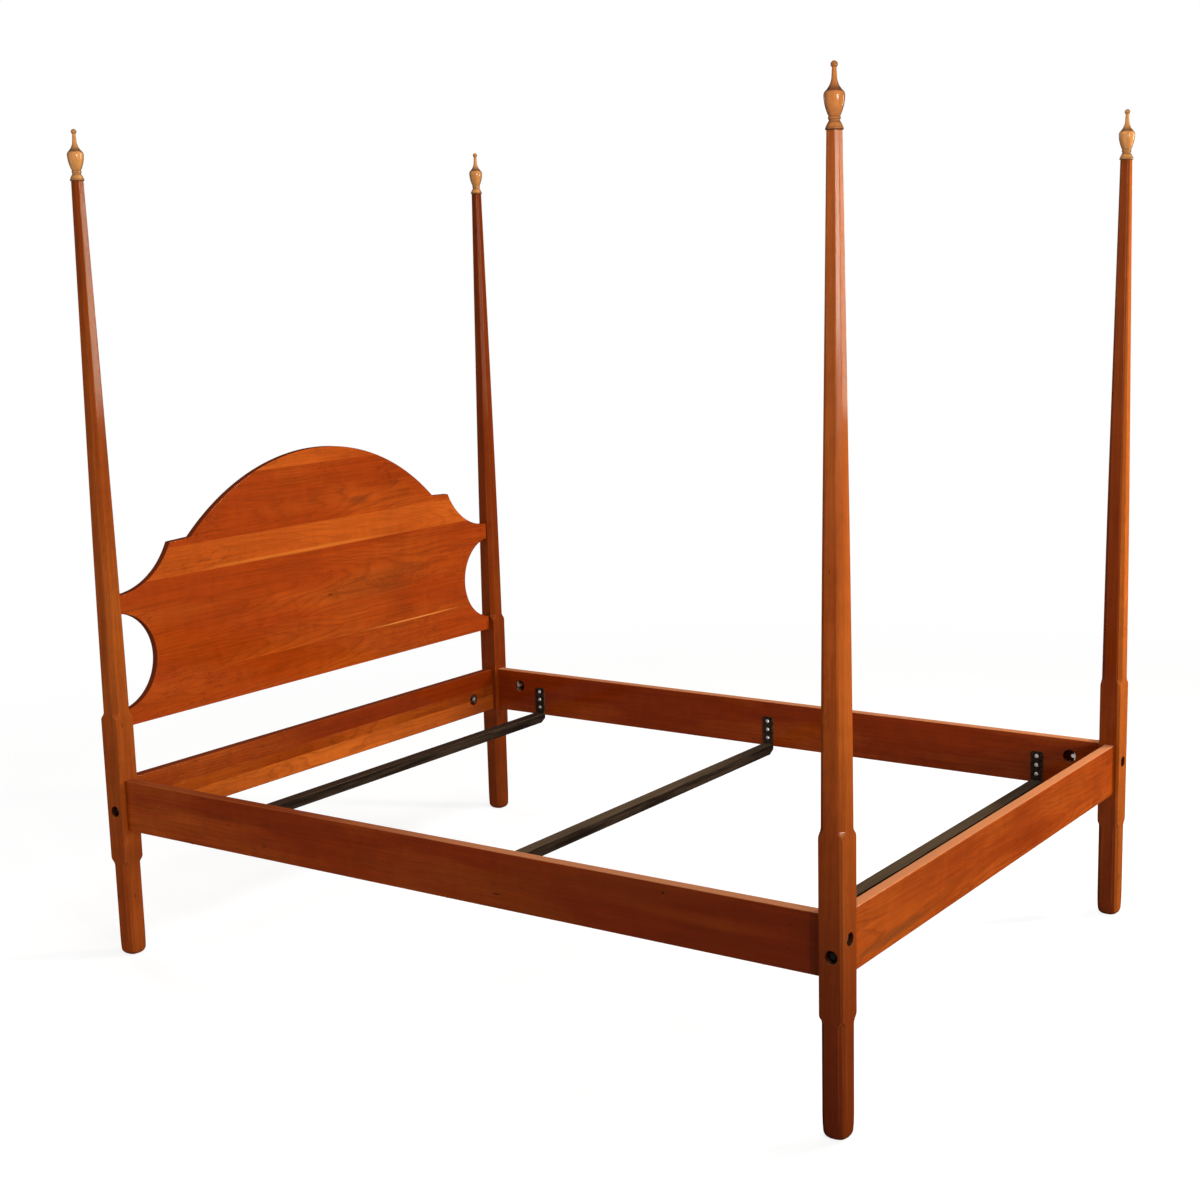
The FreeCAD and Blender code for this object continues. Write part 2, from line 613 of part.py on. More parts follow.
def make_headboard(label):
    """Make the headboard, with the tenons that enter the head posts."""
    body = new_body(label, y="half_y")
    sketch = new_sketch(body, label + "_outline", "XZ_Plane")
    draw_outline(sketch, [
        ("clear_half_x", "board_bottom"),
        ("clear_half_x", "land_top", "-cutout_depth"),
        ("neck_end_low", "neck_bottom"),
        ("neck_end_high", "neck_top", "-cove_hollow"),
        ("shoulder_half_width", "shoulder_height"),
        ("crown_half_width", "ledge_height", "crown_swell"),
        ("-crown_half_width", "ledge_height"),
        ("-shoulder_half_width", "shoulder_height", "-cove_hollow"),
        ("-neck_end_high", "neck_top"),
        ("-neck_end_low", "neck_bottom", "-cutout_depth"),
        ("-clear_half_x", "land_top"),
        ("-clear_half_x", "board_bottom"),
    ])
    pad(body, sketch, "board_thickness")
    corners = [number("crown_half_width"), number("shoulder_half_width")]
    flat = number("same_place")
    short = number("board_round")
    round_edges(body, lambda edge: min(abs(abs(edge.CenterOfMass.x) - place) for place in corners) < flat,
                "board_corner_round")
    round_edges(body, lambda edge: edge.BoundBox.YLength < flat and edge.BoundBox.XLength > short,
                "board_round")
    for name, shoulder in (("land", "clear_half_x"), ("neck", "neck_end_high")):
        tenon = new_sketch(body, "%s_%s_tenon" % (label, name), "XZ_Plane")
        root = shoulder + " - board_tenon_inset"
        draw_outline(tenon, rectangle(root, name + "_tenon_low", "board_tenon_end", name + "_tenon_high"))
        mirror(body, [pad(body, tenon, "board_tenon_thickness")], "YZ_Plane")


# Rails: four boards on edge, each drilled for a bed bolt from both ends.

def make_rail(label, half_length, bolt_height, reach, x="0", y="0", turn=0, iron_side=0):
    """Make a rail along its own X axis, its inner face towards its own +Y.

    iron_side tells which way the rail's X runs along the bed, or is 0 where no cross iron hangs.
    """
    body = new_body(label, x, y, turn=turn)
    face = new_sketch(body, label + "_face", "XZ_Plane")
    draw_outline(face, rectangle("-" + half_length, "rail_bottom", half_length, "rail_top"))
    pad(body, face, "rail_thickness")
    round_edges(body, runs_along_x, "rail_round")
    tenon = new_sketch(body, label + "_tenon", "XZ_Plane")
    tenon_end = half_length + " + rail_tenon_length"
    root = half_length + " - rail_tenon_inset"
    draw_outline(tenon, rectangle(root, "rail_tenon_low", tenon_end, "rail_tenon_high"))
    mirror(body, [pad(body, tenon, "rail_tenon_thickness")], "YZ_Plane")
    bore_place = "(%s - %s)" % (half_length, reach)
    drill = new_sketch(body, label + "_bolt_hole", "XZ_Plane", up=bolt_height)
    draw_outline(drill, rectangle(bore_place, "0", tenon_end + " + overrun", "bolt_hole_radius"))
    access = new_sketch(body, label + "_access", "XZ_Plane", off="-(rail_half + overrun)")
    draw_circle(access, "access_radius", bore_place, bolt_height)
    mirror(body, [groove(body, drill), pocket(body, access, "access_depth + overrun", "along")], "YZ_Plane")
    if iron_side:
        drill_pilot_holes(body, iron_side)


def iron_place(place):
    """Return how far a cross iron lies towards the head; place is -1, 0 or 1."""
    return "iron_shift + %d * iron_pitch" % place


def screw_level(screw):
    """Return the height of a tab's screw, counted from its top."""
    return "(iron_tab_top - screw_edge - %d * screw_pitch)" % screw


def drill_pilot_holes(body, side):
    """Drill a side rail's inner face for the screws of all cross irons."""
    sketch = new_sketch(body, body.Name + "_pilots", "XZ_Plane", off="-(rail_half + overrun)")
    for place in (-1, 0, 1):
        along = signed(side, iron_place(place))
        for screw in range(3):
            draw_circle(sketch, "screw_radius + metal_gap", along, screw_level(screw))
    pocket(body, sketch, "screw_length - iron_thickness + metal_gap + overrun", "along")


# Cross irons: angle bars whose flange turns up at both ends into tabs screwed to the side rails.

def make_iron(label, place):
    """Make a cross iron."""
    body = new_body(label, y=iron_place(place))
    outer = arc_swell("iron_outer_bend", "iron_outer_bend", "iron_outer_bend")
    inner = "-" + arc_swell("iron_bend", "iron_bend", "iron_bend")
    strip = new_sketch(body, label + "_strip", "XZ_Plane")
    draw_outline(strip, [
        ("iron_half - iron_outer_bend", "iron_underside", outer),
        ("iron_half", "iron_underside + iron_outer_bend"),
        ("iron_half", "iron_tab_top"),
        ("tab_face", "iron_tab_top"),
        ("tab_face", "iron_top + iron_bend", inner),
        ("tab_face - iron_bend", "iron_top"),
        ("iron_bend - tab_face", "iron_top", inner),
        ("-tab_face", "iron_top + iron_bend"),
        ("-tab_face", "iron_tab_top"),
        ("-iron_half", "iron_tab_top"),
        ("-iron_half", "iron_underside + iron_outer_bend", outer),
        ("iron_outer_bend - iron_half", "iron_underside"),
    ])
    pad(body, strip, "iron_width")
    top = number("iron_tab_top - same_place")
    round_edges(body, lambda edge: runs_along_x(edge) and edge.BoundBox.ZMin > top, "iron_tab_round")
    web = new_sketch(body, label + "_web", "XZ_Plane", off="iron_width / 2 - iron_thickness")
    draw_outline(web, [
        ("iron_half - iron_web_slant", "iron_web_bottom"),
        ("iron_half", "iron_web_bottom + iron_web_rise"),
        ("iron_half", "iron_top - iron_bend"),
        ("iron_half - iron_outer_bend", "iron_top"),
        ("iron_outer_bend - iron_half", "iron_top"),
        ("-iron_half", "iron_top - iron_bend"),
        ("-iron_half", "iron_web_bottom + iron_web_rise"),
        ("iron_web_slant - iron_half", "iron_web_bottom"),
    ])
    pad(body, web, "iron_thickness", "along")
    holes = new_sketch(body, label + "_holes", "YZ_Plane")
    for screw in range(3):
        draw_circle(holes, "screw_radius + metal_gap", "0", screw_level(screw))
    pocket(body, holes, "2 * (iron_half + overrun)")


def make_iron_screws(label, place):
    """Make the six wood screws of a cross iron."""
    body = new_body(label, y=iron_place(place))
    features = []
    for screw in range(3):
        sketch = new_sketch(body, "%s_%d" % (label, screw + 1), "XZ_Plane", up=screw_level(screw))
        draw_outline(sketch, [
            ("tab_face - screw_head_top", "0"),
            ("tab_face + screw_length", "0"),
            ("tab_face + screw_length - screw_point", "screw_radius"),
            ("tab_face", "screw_radius"),
            ("tab_face", "screw_head_radius"),
            ("tab_face - screw_head_edge", "screw_head_radius",
             arc_swell("screw_dome_radius", "screw_head_radius", "screw_head_dome")),
        ])
        features.append(revolve(body, sketch, "H_Axis"))
    mirror(body, features, "YZ_Plane")


# Bed bolts and what they carry. One corner of the bed is drawn, the other three are its mirror images.
# A place along a bolt is measured from the post's axis, outwards; a bore's middle is at bore_middle.

def bore_middle(side):
    """Return where the middle of a nut bore lies along its bolt; side tells a side rail from an end rail."""
    return "-half_post - %s_access_reach" % ("side" if side else "end")


def square_to_bolt(body, name, side, place):
    """Add a sketch square to a bolt, at a place along it."""
    if side:
        return new_sketch(body, name, "XZ_Plane", "half_x", "side_bolt_height", "-(half_y + (%s))" % place)
    return new_sketch(body, name, "YZ_Plane", "half_y", "end_bolt_height", "half_x + (%s)" % place)


def beside_bolt(body, name, side, place):
    """Add a sketch in a bolt's upright plane, facing out of the nut bore, its origin at a place along it."""
    if side:
        return new_sketch(body, name, "YZ_Plane", "half_y + (%s)" % place, "side_bolt_height", "half_x")
    return new_sketch(body, name, "XZ_Plane", "half_x + (%s)" % place, "end_bolt_height", "-half_y")


def inward(side):
    """Return which way a sketch square to a bolt is padded to run towards the middle of the bed."""
    return "along" if side else "against"


def make_bolts(label, side):
    """Make four bed bolts with six-sided heads."""
    body = new_body(label)
    head = square_to_bolt(body, label + "_head", side, "bolt_seat + bolt_head_height")
    draw_hexagon(head, "bolt_head_width")
    top = pad(body, head, "bolt_head_height", inward(side))
    shank = square_to_bolt(body, label + "_shank", side, "bolt_seat")
    draw_circle(shank, "bolt_radius")
    length = "bolt_seat - (%s + bolt_end)" % bore_middle(side)
    mirror_to_corners(body, [top, pad(body, shank, length, inward(side))])


def make_washers(label, side):
    """Make the four round washers under the bolt heads."""
    body = new_body(label)
    sketch = square_to_bolt(body, label + "_section", side, "bolt_seat")
    draw_circle(sketch, "washer_diameter / 2")
    draw_circle(sketch, "bolt_radius + metal_gap")
    mirror_to_corners(body, [pad(body, sketch, "washer_thickness", inward(side))])


def make_half_moons(label, side):
    """Make the four half-moon washers, flat for the nut and round for the wall of its bore."""
    body = new_body(label)
    section = beside_bolt(body, label + "_section", side, bore_middle(side))
    arc = ("moon_flat", "-moon_half", "moon_radius - moon_flat")
    draw_outline(section, [arc, ("moon_flat", "moon_half")])
    moon = pad(body, section, "moon_width")
    hole = square_to_bolt(body, label + "_hole", side, bore_middle(side) + " + access_radius")
    draw_circle(hole, "bolt_radius + metal_gap")
    mirror_to_corners(body, [moon, pocket(body, hole, "access_diameter", inward(side))])


def make_nuts(label, side):
    """Make the four nuts inside the rails."""
    body = new_body(label)
    sketch = square_to_bolt(body, label + "_section", side, bore_middle(side) + " + moon_flat")
    draw_hexagon(sketch, "bolt_head_width")
    draw_circle(sketch, "bolt_radius + metal_gap")
    mirror_to_corners(body, [pad(body, sketch, "nut_height", inward(side))])


# The whole bed.

CORNERS = [("head_left", -1, 1), ("head_right", 1, 1), ("foot_left", -1, -1), ("foot_right", 1, -1)]
for corner, side_x, side_y in CORNERS:
    make_post("post_" + corner, side_x, side_y)
    make_finial("finial_" + corner, side_x, side_y)
    make_pin("finial_pin_" + corner, side_x, side_y)

make_headboard("headboard")
END = ("clear_half_x", "end_bolt_height", "end_access_reach")
SIDE = ("clear_half_y", "side_bolt_height", "side_access_reach")
make_rail("head_rail", *END, y="half_y", turn=180)
make_rail("foot_rail", *END, y="-half_y")
make_rail("side_rail_left", *SIDE, x="-half_x", turn=-90, iron_side=-1)
make_rail("side_rail_right", *SIDE, x="half_x", turn=90, iron_side=1)

for name, place in (("foot", -1), ("middle", 0), ("head", 1)):
    make_iron("cross_iron_" + name, place)
    make_iron_screws("iron_screws_" + name, place)

for name, side in (("side", True), ("end", False)):
    make_bolts(name + "_rail_bolts", side)
    make_washers(name + "_bolt_washers", side)
    make_half_moons(name + "_half_moon_washers", side)
    make_nuts(name + "_rail_nuts", side)


def check_model(bodies):
    """Stop where any object failed to build, or a piece is empty or not a sound solid."""
    failed = [thing.Name for thing in doc.Objects if {"Invalid", "Error"} & set(thing.State)]
    assert not failed, failed
    for body in bodies:
        shape = body.Shape
        assert not shape.isNull() and shape.isValid() and shape.Solids, body.Label


def write_parts(bodies):
    """Write each piece to its own file, and print what it measures."""
    for body in bodies:
        shape = body.Shape
        shape.exportStep("parts/%s.step" % body.Label)
        box = shape.BoundBox
        print("%-28s %2d solids  %9.1f cm3  x %8.1f %8.1f  y %8.1f %8.1f  z %7.1f %7.1f" % (
            body.Label, len(shape.Solids), shape.Volume / 1000,
            box.XMin, box.XMax, box.YMin, box.YMax, box.ZMin, box.ZMax))


doc.recompute()
pieces = [thing for thing in doc.Objects if thing.TypeId == "PartDesign::Body"]
check_model(pieces)
write_parts(pieces)
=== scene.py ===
# %% [markdown]
# A poster bed in cherry wood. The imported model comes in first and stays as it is: it says how large each
# piece is and where it stands. Everything below is dressed over it, in metres, in the same frame:
# +X across the bed, +Y towards the head, +Z up.

# %% The frame
import math

import bpy
import numpy as np
from mathutils import Euler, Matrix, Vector


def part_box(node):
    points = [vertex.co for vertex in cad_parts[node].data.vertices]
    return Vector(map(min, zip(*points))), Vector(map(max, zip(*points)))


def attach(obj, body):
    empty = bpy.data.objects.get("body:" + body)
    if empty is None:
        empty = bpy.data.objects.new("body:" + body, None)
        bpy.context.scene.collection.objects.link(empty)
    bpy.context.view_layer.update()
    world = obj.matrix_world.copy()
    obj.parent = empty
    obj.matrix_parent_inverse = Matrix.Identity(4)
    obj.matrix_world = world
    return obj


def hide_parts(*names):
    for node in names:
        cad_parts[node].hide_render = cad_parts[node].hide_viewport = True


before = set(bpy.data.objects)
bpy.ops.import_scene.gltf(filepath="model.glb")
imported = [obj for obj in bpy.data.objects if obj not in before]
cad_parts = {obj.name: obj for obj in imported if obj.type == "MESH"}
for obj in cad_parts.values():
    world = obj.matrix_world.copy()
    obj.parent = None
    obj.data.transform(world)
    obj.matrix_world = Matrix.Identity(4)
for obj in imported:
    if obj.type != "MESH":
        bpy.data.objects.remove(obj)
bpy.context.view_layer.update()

MM = 0.001
print("nodes", len(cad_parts))

# %% [markdown]
# The sizes that several pieces share come from the model itself where it can tell them, and from the
# drawing where it can't, such as the height of a chamfer's end. A size is written once and has a name.

# %% Sizes shared by several pieces
foot_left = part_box("post_foot_left")
head_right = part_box("post_head_right")
POST_HALF = (foot_left[1].x - foot_left[0].x) / 2
AXIS_X = head_right[1].x - POST_HALF
AXIS_Y = head_right[1].y - POST_HALF
POST_HEIGHT = foot_left[1].z
CLEAR_X = AXIS_X - POST_HALF
CLEAR_Y = AXIS_Y - POST_HALF
END_BOLT_HEIGHT = 392 * MM
SIDE_BOLT_HEIGHT = 427 * MM
BOLT_HOLE = 5.25 * MM
BORE_EASE = 0.7 * MM
CORNERS = {"head_left": (-1, 1), "head_right": (1, 1), "foot_left": (-1, -1), "foot_right": (1, -1)}


def post_axis(corner, height=0.0):
    """Return on which sides of the bed's middle a post stands, and the point of its axis at a height."""
    side_x, side_y = CORNERS[corner]
    return side_x, side_y, np.array([side_x * AXIS_X, side_y * AXIS_Y, height])


print("post axes %.4f %.4f, clear inside %.4f %.4f" % (AXIS_X, AXIS_Y, CLEAR_X, CLEAR_Y))

# %% [markdown]
# The camera stands where the photographer stood, to the left of the foot end and a little under the tips
# of the posts. It is made first, so that each piece can be looked at from the right place as it is added.

# %% The camera
def add_object(name, data):
    """Put an object with its data into the scene."""
    thing = bpy.data.objects.new(name, data)
    bpy.context.scene.collection.objects.link(thing)
    return thing


CAMERA_PLACE = (-3.9874, -2.7432, 1.7489)
CAMERA_TURNS = (79.696, 1.284, -56.324)
camera_data = bpy.data.cameras.new("camera")
camera_data.lens, camera_data.sensor_width = 56.6, 36
camera_data.shift_x, camera_data.shift_y = -0.0334, 0.0111
camera = add_object("camera", camera_data)
camera.location = CAMERA_PLACE
camera.rotation_euler = Euler([math.radians(turn) for turn in CAMERA_TURNS], "XYZ")
bpy.context.scene.camera = camera
bpy.context.scene.view_settings.view_transform = "Standard"
print("camera at", tuple(camera.location))

# %% [markdown]
# A material is a small net of nodes. These helpers add one node at a time and wire it, so that a finish
# can be read from top to bottom like a recipe.

# %% Helpers for materials
def feed(tree, node, inputs):
    """Give each named input of a node a value or a wire."""
    for key, value in inputs.items():
        if isinstance(value, bpy.types.NodeSocket):
            tree.links.new(value, node.inputs[key])
        else:
            node.inputs[key].default_value = value


def add_node(tree, kind, inputs=None, **settings):
    """Add a node, set its options and feed its inputs."""
    node = tree.nodes.new(kind)
    for key, value in settings.items():
        setattr(node, key, value)
    feed(tree, node, inputs or {})
    return node


def reckon(tree, operation, first, second=0.0, third=0.0):
    """Return the wire of an operation on one, two or three numbers."""
    return add_node(tree, "ShaderNodeMath", {0: first, 1: second, 2: third}, operation=operation).outputs[0]


def times(tree, product, *others):
    """Return the wire of a product of numbers."""
    for other in others:
        product = reckon(tree, "MULTIPLY", product, other)
    return product


def reckon_vector(tree, operation, first, second=(0.0, 0.0, 0.0)):
    """Return the wire of an operation on two vectors."""
    node = add_node(tree, "ShaderNodeVectorMath", {0: first, 1: second}, operation=operation)
    return node.outputs["Value" if operation == "LENGTH" else "Vector"]


def split(tree, vector):
    """Return the wires X, Y and Z of a vector."""
    return add_node(tree, "ShaderNodeSeparateXYZ", {0: vector}).outputs


def ease(tree, value, low, high, start=0.0, end=1.0):
    """Return a wire that runs smoothly from start to end while value runs from low to high."""
    inputs = {"Value": value, "From Min": low, "From Max": high, "To Min": start, "To Max": end}
    return add_node(tree, "ShaderNodeMapRange", inputs, interpolation_type="SMOOTHSTEP").outputs[0]


def blend(tree, share, first, second):
    """Return the wire of a mixture of two colours."""
    return add_node(tree, "ShaderNodeMix", {0: share, 6: first, 7: second}, data_type="RGBA").outputs[2]


def lay_over(tree, colour, layers):
    """Lay colours over a first one, each by its own share, and return the wire of the result."""
    for share, hue in layers:
        colour = blend(tree, share, colour, hue)
    return colour


def dim_by(tree, colour, share):
    """Return the wire of a colour times a number."""
    return add_node(tree, "ShaderNodeVectorMath", {0: colour, "Scale": share}, operation="SCALE").outputs[0]


def noise(tree, place, scale, detail, roughness, distortion=0.0):
    """Return the wires of a noise texture read at a place."""
    inputs = {
        "Vector": place, "Scale": scale, "Detail": detail, "Roughness": roughness, "Distortion": distortion,
    }
    return add_node(tree, "ShaderNodeTexNoise", inputs).outputs


def note(tree, name):
    """Return the wire of a number that a piece carries at each of its points."""
    return add_node(tree, "ShaderNodeAttribute", attribute_name=name).outputs["Fac"]


def seen_directly(tree):
    """Return 1 for a ray of the camera, of a mirror or through glass, and 0 for one that lights."""
    rays = add_node(tree, "ShaderNodeLightPath").outputs
    seen = reckon(tree, "MAXIMUM", rays["Is Camera Ray"], rays["Is Glossy Ray"])
    return reckon(tree, "MAXIMUM", seen, rays["Is Transmission Ray"])


def paint(red, green, blue):
    """Turn a colour as it is seen on a screen, 0 to 255, into the light that a node works with."""
    seen = np.array([red, green, blue]) / 255
    light = np.where(seen <= 0.04045, seen / 12.92, ((seen + 0.055) / 1.055) ** 2.4)
    return (*light.tolist(), 1.0)


def new_material(name):
    """Start a material and return it with its tree and its surface shader."""
    material = bpy.data.materials.new(name)
    material.use_nodes = True
    return material, material.node_tree, material.node_tree.nodes["Principled BSDF"]


print("helpers ready")

# %% [markdown]
# The bed stands in a white studio. The floor is a plain pale surface for every ray that lights the bed,
# and for the camera it is lifted to white, with the soft shadow of the bed left in it.

# %% The floor
FLOOR_REACH = 30.0
FLOOR_GREY, SHADOW_GREY = (0.32, 0.32, 0.32, 1), (0.26, 0.26, 0.26, 1)
FLOOR_LIFT = 0.82
SHADOW_FADE = (2.2, 5.0)


def make_floor():
    """Make one flat square, far larger than the bed, on which shadows fade out between two distances."""
    mesh = bpy.data.meshes.new("studio_floor")
    corners = FLOOR_REACH * np.array([(-1, -1, 0), (1, -1, 0), (1, 1, 0), (-1, 1, 0)], float)
    mesh.from_pydata(corners.tolist(), [], [(0, 1, 2, 3)])
    floor = add_object("studio_floor", mesh)
    material, tree, shader = new_material("studio_floor")
    feed(tree, shader, {"Base Color": FLOOR_GREY, "Roughness": 1, "Specular IOR Level": 0})
    place = add_node(tree, "ShaderNodeTexCoord").outputs["Object"]
    away = ease(tree, reckon_vector(tree, "LENGTH", place), *SHADOW_FADE)
    glow = add_node(tree, "ShaderNodeEmission", {"Strength": 1.0}).outputs[0]
    lift = add_node(tree, "ShaderNodeEmission", {"Strength": FLOOR_LIFT}).outputs[0]
    thinned = add_node(tree, "ShaderNodeBsdfDiffuse", {"Color": SHADOW_GREY}).outputs[0]
    shaded = add_node(tree, "ShaderNodeAddShader", {0: thinned, 1: lift}).outputs[0]
    seen = add_node(tree, "ShaderNodeMixShader", {0: away, 1: shaded, 2: glow}).outputs[0]
    both = add_node(tree, "ShaderNodeMixShader", {0: seen_directly(tree), 1: shader.outputs[0], 2: seen})
    feed(tree, tree.nodes["Material Output"], {"Surface": both.outputs[0]})
    mesh.materials.append(material)


make_floor()
print("floor laid")

# %% [markdown]
# The walls of the studio are the world: white to the camera and in reflections, and a plain soft light
# to everything else. Soft lamps do the rest. The key lamp stands far to the right of the camera, level with
# the tips of the posts, so the faces towards the foot end are the bright ones, and the upper chamfers
# mirror the narrow gloss lamp beside it in a long pale streak. A golden lamp and a strip do the same for
# other faces. A small lamp near the camera lights the upper posts more than their feet, one fills from the
# left, one hangs overhead, and one behind the bed shows its back.

# %% The light
WORLD_STRENGTH = 0.08
WHITE, WARM, GOLDEN = (1, 1, 1), (1.0, 0.93, 0.80), (1.0, 0.92, 0.70)


def light_world(strength):
    """Make the world a soft light that the camera sees as white."""
    world = bpy.data.worlds.new("studio")
    bpy.context.scene.world = world
    world.use_nodes = True
    tree = world.node_tree
    level = reckon(tree, "MULTIPLY_ADD", seen_directly(tree), 1.0 - strength, strength)
    feed(tree, tree.nodes["Background"], {"Strength": level, "Color": (1, 1, 1, 1)})


def hang_lamp(name, place, aim, size, watts, colour=WHITE, spread=180, mirrored=True):
    """Hang a rectangular soft lamp at a place and turn it to what it lights; a grid narrows its spread."""
    data = bpy.data.lights.new(name, "AREA")
    data.shape = "RECTANGLE"
    data.size, data.size_y = size
    data.energy = watts
    data.spread = math.radians(spread)
    data.color = colour
    lamp = add_object(name, data)
    lamp.visible_camera = False
    lamp.visible_glossy = mirrored
    lamp.location = place
    lamp.rotation_euler = (Vector(aim) - Vector(place)).to_track_quat("-Z", "Y").to_euler()


light_world(WORLD_STRENGTH)
hang_lamp("key_lamp", (-3.7, -8.4, 1.9), (0.0, 0.0, 1.2), (2.4, 1.8), 330)
hang_lamp("gloss_lamp", (-4.52, -8.1, 2.2), (0.0, 0.0, 1.4), (0.35, 1.4), 190, WARM)
hang_lamp("near_lamp", (-3.0, -2.2, 3.0), (-0.7, -1.0, 1.9), (0.7, 0.7), 12, spread=100, mirrored=False)
hang_lamp("streak_lamp", (2.4, -2.75, 1.78), (0.0, -0.6, 1.2), (0.45, 1.1), 120, GOLDEN)
hang_lamp("strip_lamp", (-5.5, -6.7, 1.9), (0.0, 0.0, 1.2), (0.3, 1.8), 50, WARM)
hang_lamp("fill_lamp", (-3.7, 2.6, 0.9), (-0.8, 0.6, 0.6), (1.6, 1.2), 46, mirrored=False)
hang_lamp("overhead_lamp", (0.3, -0.6, 6.2), (0.0, 0.0, 0.4), (2.4, 2.4), 160, mirrored=False)
hang_lamp("rear_lamp", (2.6, 8.2, 2.4), (0.0, 0.0, 1.0), (2.4, 1.8), 170)

# %% [markdown]
# Most pieces are a stack of closed rings: a section that is carried along a straight or bent path and
# changes on its way. One helper skins such a stack with four-sided faces and closes both ends with a fan.

# %% Helpers for shapes
def skin(rings, joined=False):
    """Cover a stack of closed rings, an array of rows by columns by 3, with faces that look outwards.

    Face (row, column) joins two neighbouring points of one ring to the same two of the next. A joined
    stack runs back into its first ring; an open one is closed by a fan at each end. The volume that the
    faces enclose is summed from the origin, and a negative one turns every face round.
    """
    rows, columns = rings.shape[:2]
    points = rings.reshape(-1, 3)
    row = np.arange(rows if joined else rows - 1)[:, None]
    column = np.arange(columns)[None, :]
    beside = (column + 1) % columns
    above = (row + 1) % rows
    here, there = row * columns, above * columns
    quads = np.stack([here + column, here + beside, there + beside, there + column], -1).reshape(-1, 4)
    fans = np.zeros((0, 3), int)
    if not joined:
        middles = rings[[0, -1]].mean(1)
        low, high = len(points), len(points) + 1
        points = np.vstack([points, middles])
        last = (rows - 1) * columns
        lower = np.stack([np.full(columns, low), beside[0], column[0]], -1)
        upper = np.stack([np.full(columns, high), last + column[0], last + beside[0]], -1)
        fans = np.vstack([lower, upper])
    halves = np.vstack([quads[:, [0, 1, 2]], quads[:, [0, 2, 3]], fans])
    first, second, third = (points[halves[:, place]] for place in range(3))
    if (np.cross(first, second) * third).sum() < 0:
        quads, fans = quads[:, ::-1], fans[:, ::-1]
    return points, quads.tolist() + fans.tolist()


def gather(shells):
    """Put several shells into one, each one's faces counted on from the points before it."""
    points, faces, start = [], [], 0
    for shell_points, shell_faces in shells:
        points.append(shell_points)
        faces += [[start + corner for corner in face] for face in shell_faces]
        start += len(shell_points)
    return np.vstack(points), faces


def new_piece(name, shell):
    """Turn a shell into an object at the origin, with its place in its mesh."""
    mesh = bpy.data.meshes.new(name)
    mesh.from_pydata(shell[0].tolist(), [], shell[1])
    mesh.update()
    return add_object(name, mesh)


def work(piece, shell, operation="DIFFERENCE"):
    """Cut a shell out of a piece, or join it on, and keep the result as the piece's mesh."""
    tool = new_piece("tool", shell)
    modifier = piece.modifiers.new("work", "BOOLEAN")
    modifier.operation = operation
    modifier.solver = "EXACT"
    modifier.object = tool
    bpy.context.view_layer.update()
    worked = bpy.data.meshes.new_from_object(piece.evaluated_get(bpy.context.evaluated_depsgraph_get()))
    piece.modifiers.clear()
    piece.data = worked
    bpy.data.objects.remove(tool)


def vertex_places(piece):
    """Return the places of a piece's vertices as one array."""
    places = np.zeros(len(piece.data.vertices) * 3)
    piece.data.vertices.foreach_get("co", places)
    return places.reshape(-1, 3)


def mark(piece, name, values):
    """Write one number per vertex, 0 to 1, for the material to read."""
    layer = piece.data.attributes.new(name, "FLOAT", "POINT")
    layer.data.foreach_set("value", np.clip(values, 0, 1).astype(np.float32))


SHARP_ANGLE = math.radians(32)


def dress(piece, material, body, node):
    """Finish a piece: smooth faces between sharp edges, its material, its body and the node it stands for."""
    mesh = piece.data
    mesh.polygons.foreach_set("use_smooth", np.ones(len(mesh.polygons), bool))
    mesh.set_sharp_from_angle(angle=SHARP_ANGLE)
    mesh.materials.clear()
    mesh.materials.append(material)
    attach(piece, body)
    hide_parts(node)
    low, high = Vector(vertex_places(piece).min(0)), Vector(vertex_places(piece).max(0))
    print("%-26s %6d faces, %s mm" % (piece.name, len(mesh.polygons), [round(v / MM, 1) for v in high - low]))


def bow(start, end, swell, steps):
    """Return points along an arc, whose middle stands out by swell to the right of the way from start to end.

    With chord c and swell s the radius is (c^2/4 + s^2) / 2s. The angle runs evenly between its two ends,
    its sine gives the way along the chord, and its cosine gives how far the arc stands out.
    """
    start, end = np.array(start, float), np.array(end, float)
    if swell == 0:
        return start + (end - start) * np.linspace(0, 1, steps)[:, None]
    way = end - start
    chord = np.hypot(*way)
    way /= chord
    out = np.array([way[1], -way[0]]) * np.sign(swell)
    radius = (chord ** 2 / 4 + swell ** 2) / (2 * abs(swell))
    widest = 2 * math.atan(2 * abs(swell) / chord)
    angle = np.linspace(-widest, widest, steps)[:, None]
    along = radius * np.sin(angle)
    across = radius * np.cos(angle) - radius + abs(swell)
    return (start + end) / 2 + way * along + out * across


def around(radius, angle, height):
    """Return the points at these distances from the upright axis, angles and heights."""
    return np.stack([radius * np.cos(angle), radius * np.sin(angle), height + 0 * angle], -1)


def turn_round(profile, columns=64):
    """Turn a profile of radius and height, two columns of numbers, about the upright axis into rings."""
    profile = np.asarray(profile, float)
    return around(profile[:, :1], np.linspace(0, 2 * np.pi, columns, endpoint=False), profile[:, 1:])


def left_of(way):
    """Return directions of length one at a right angle to the steps of a flat path, on their left."""
    way = way / np.hypot(*way.T)[:, None]
    return np.column_stack([-way[:, 1], way[:, 0]])


def lay_along(points, axis, sense):
    """Turn points made along +Z so that they run along X or Y, forwards or backwards, without mirroring."""
    x, y, z = np.moveaxis(points, -1, 0)
    if axis == "x":
        return np.stack([z * sense, x * sense, y], -1)
    return np.stack([-x * sense, z * sense, y], -1)


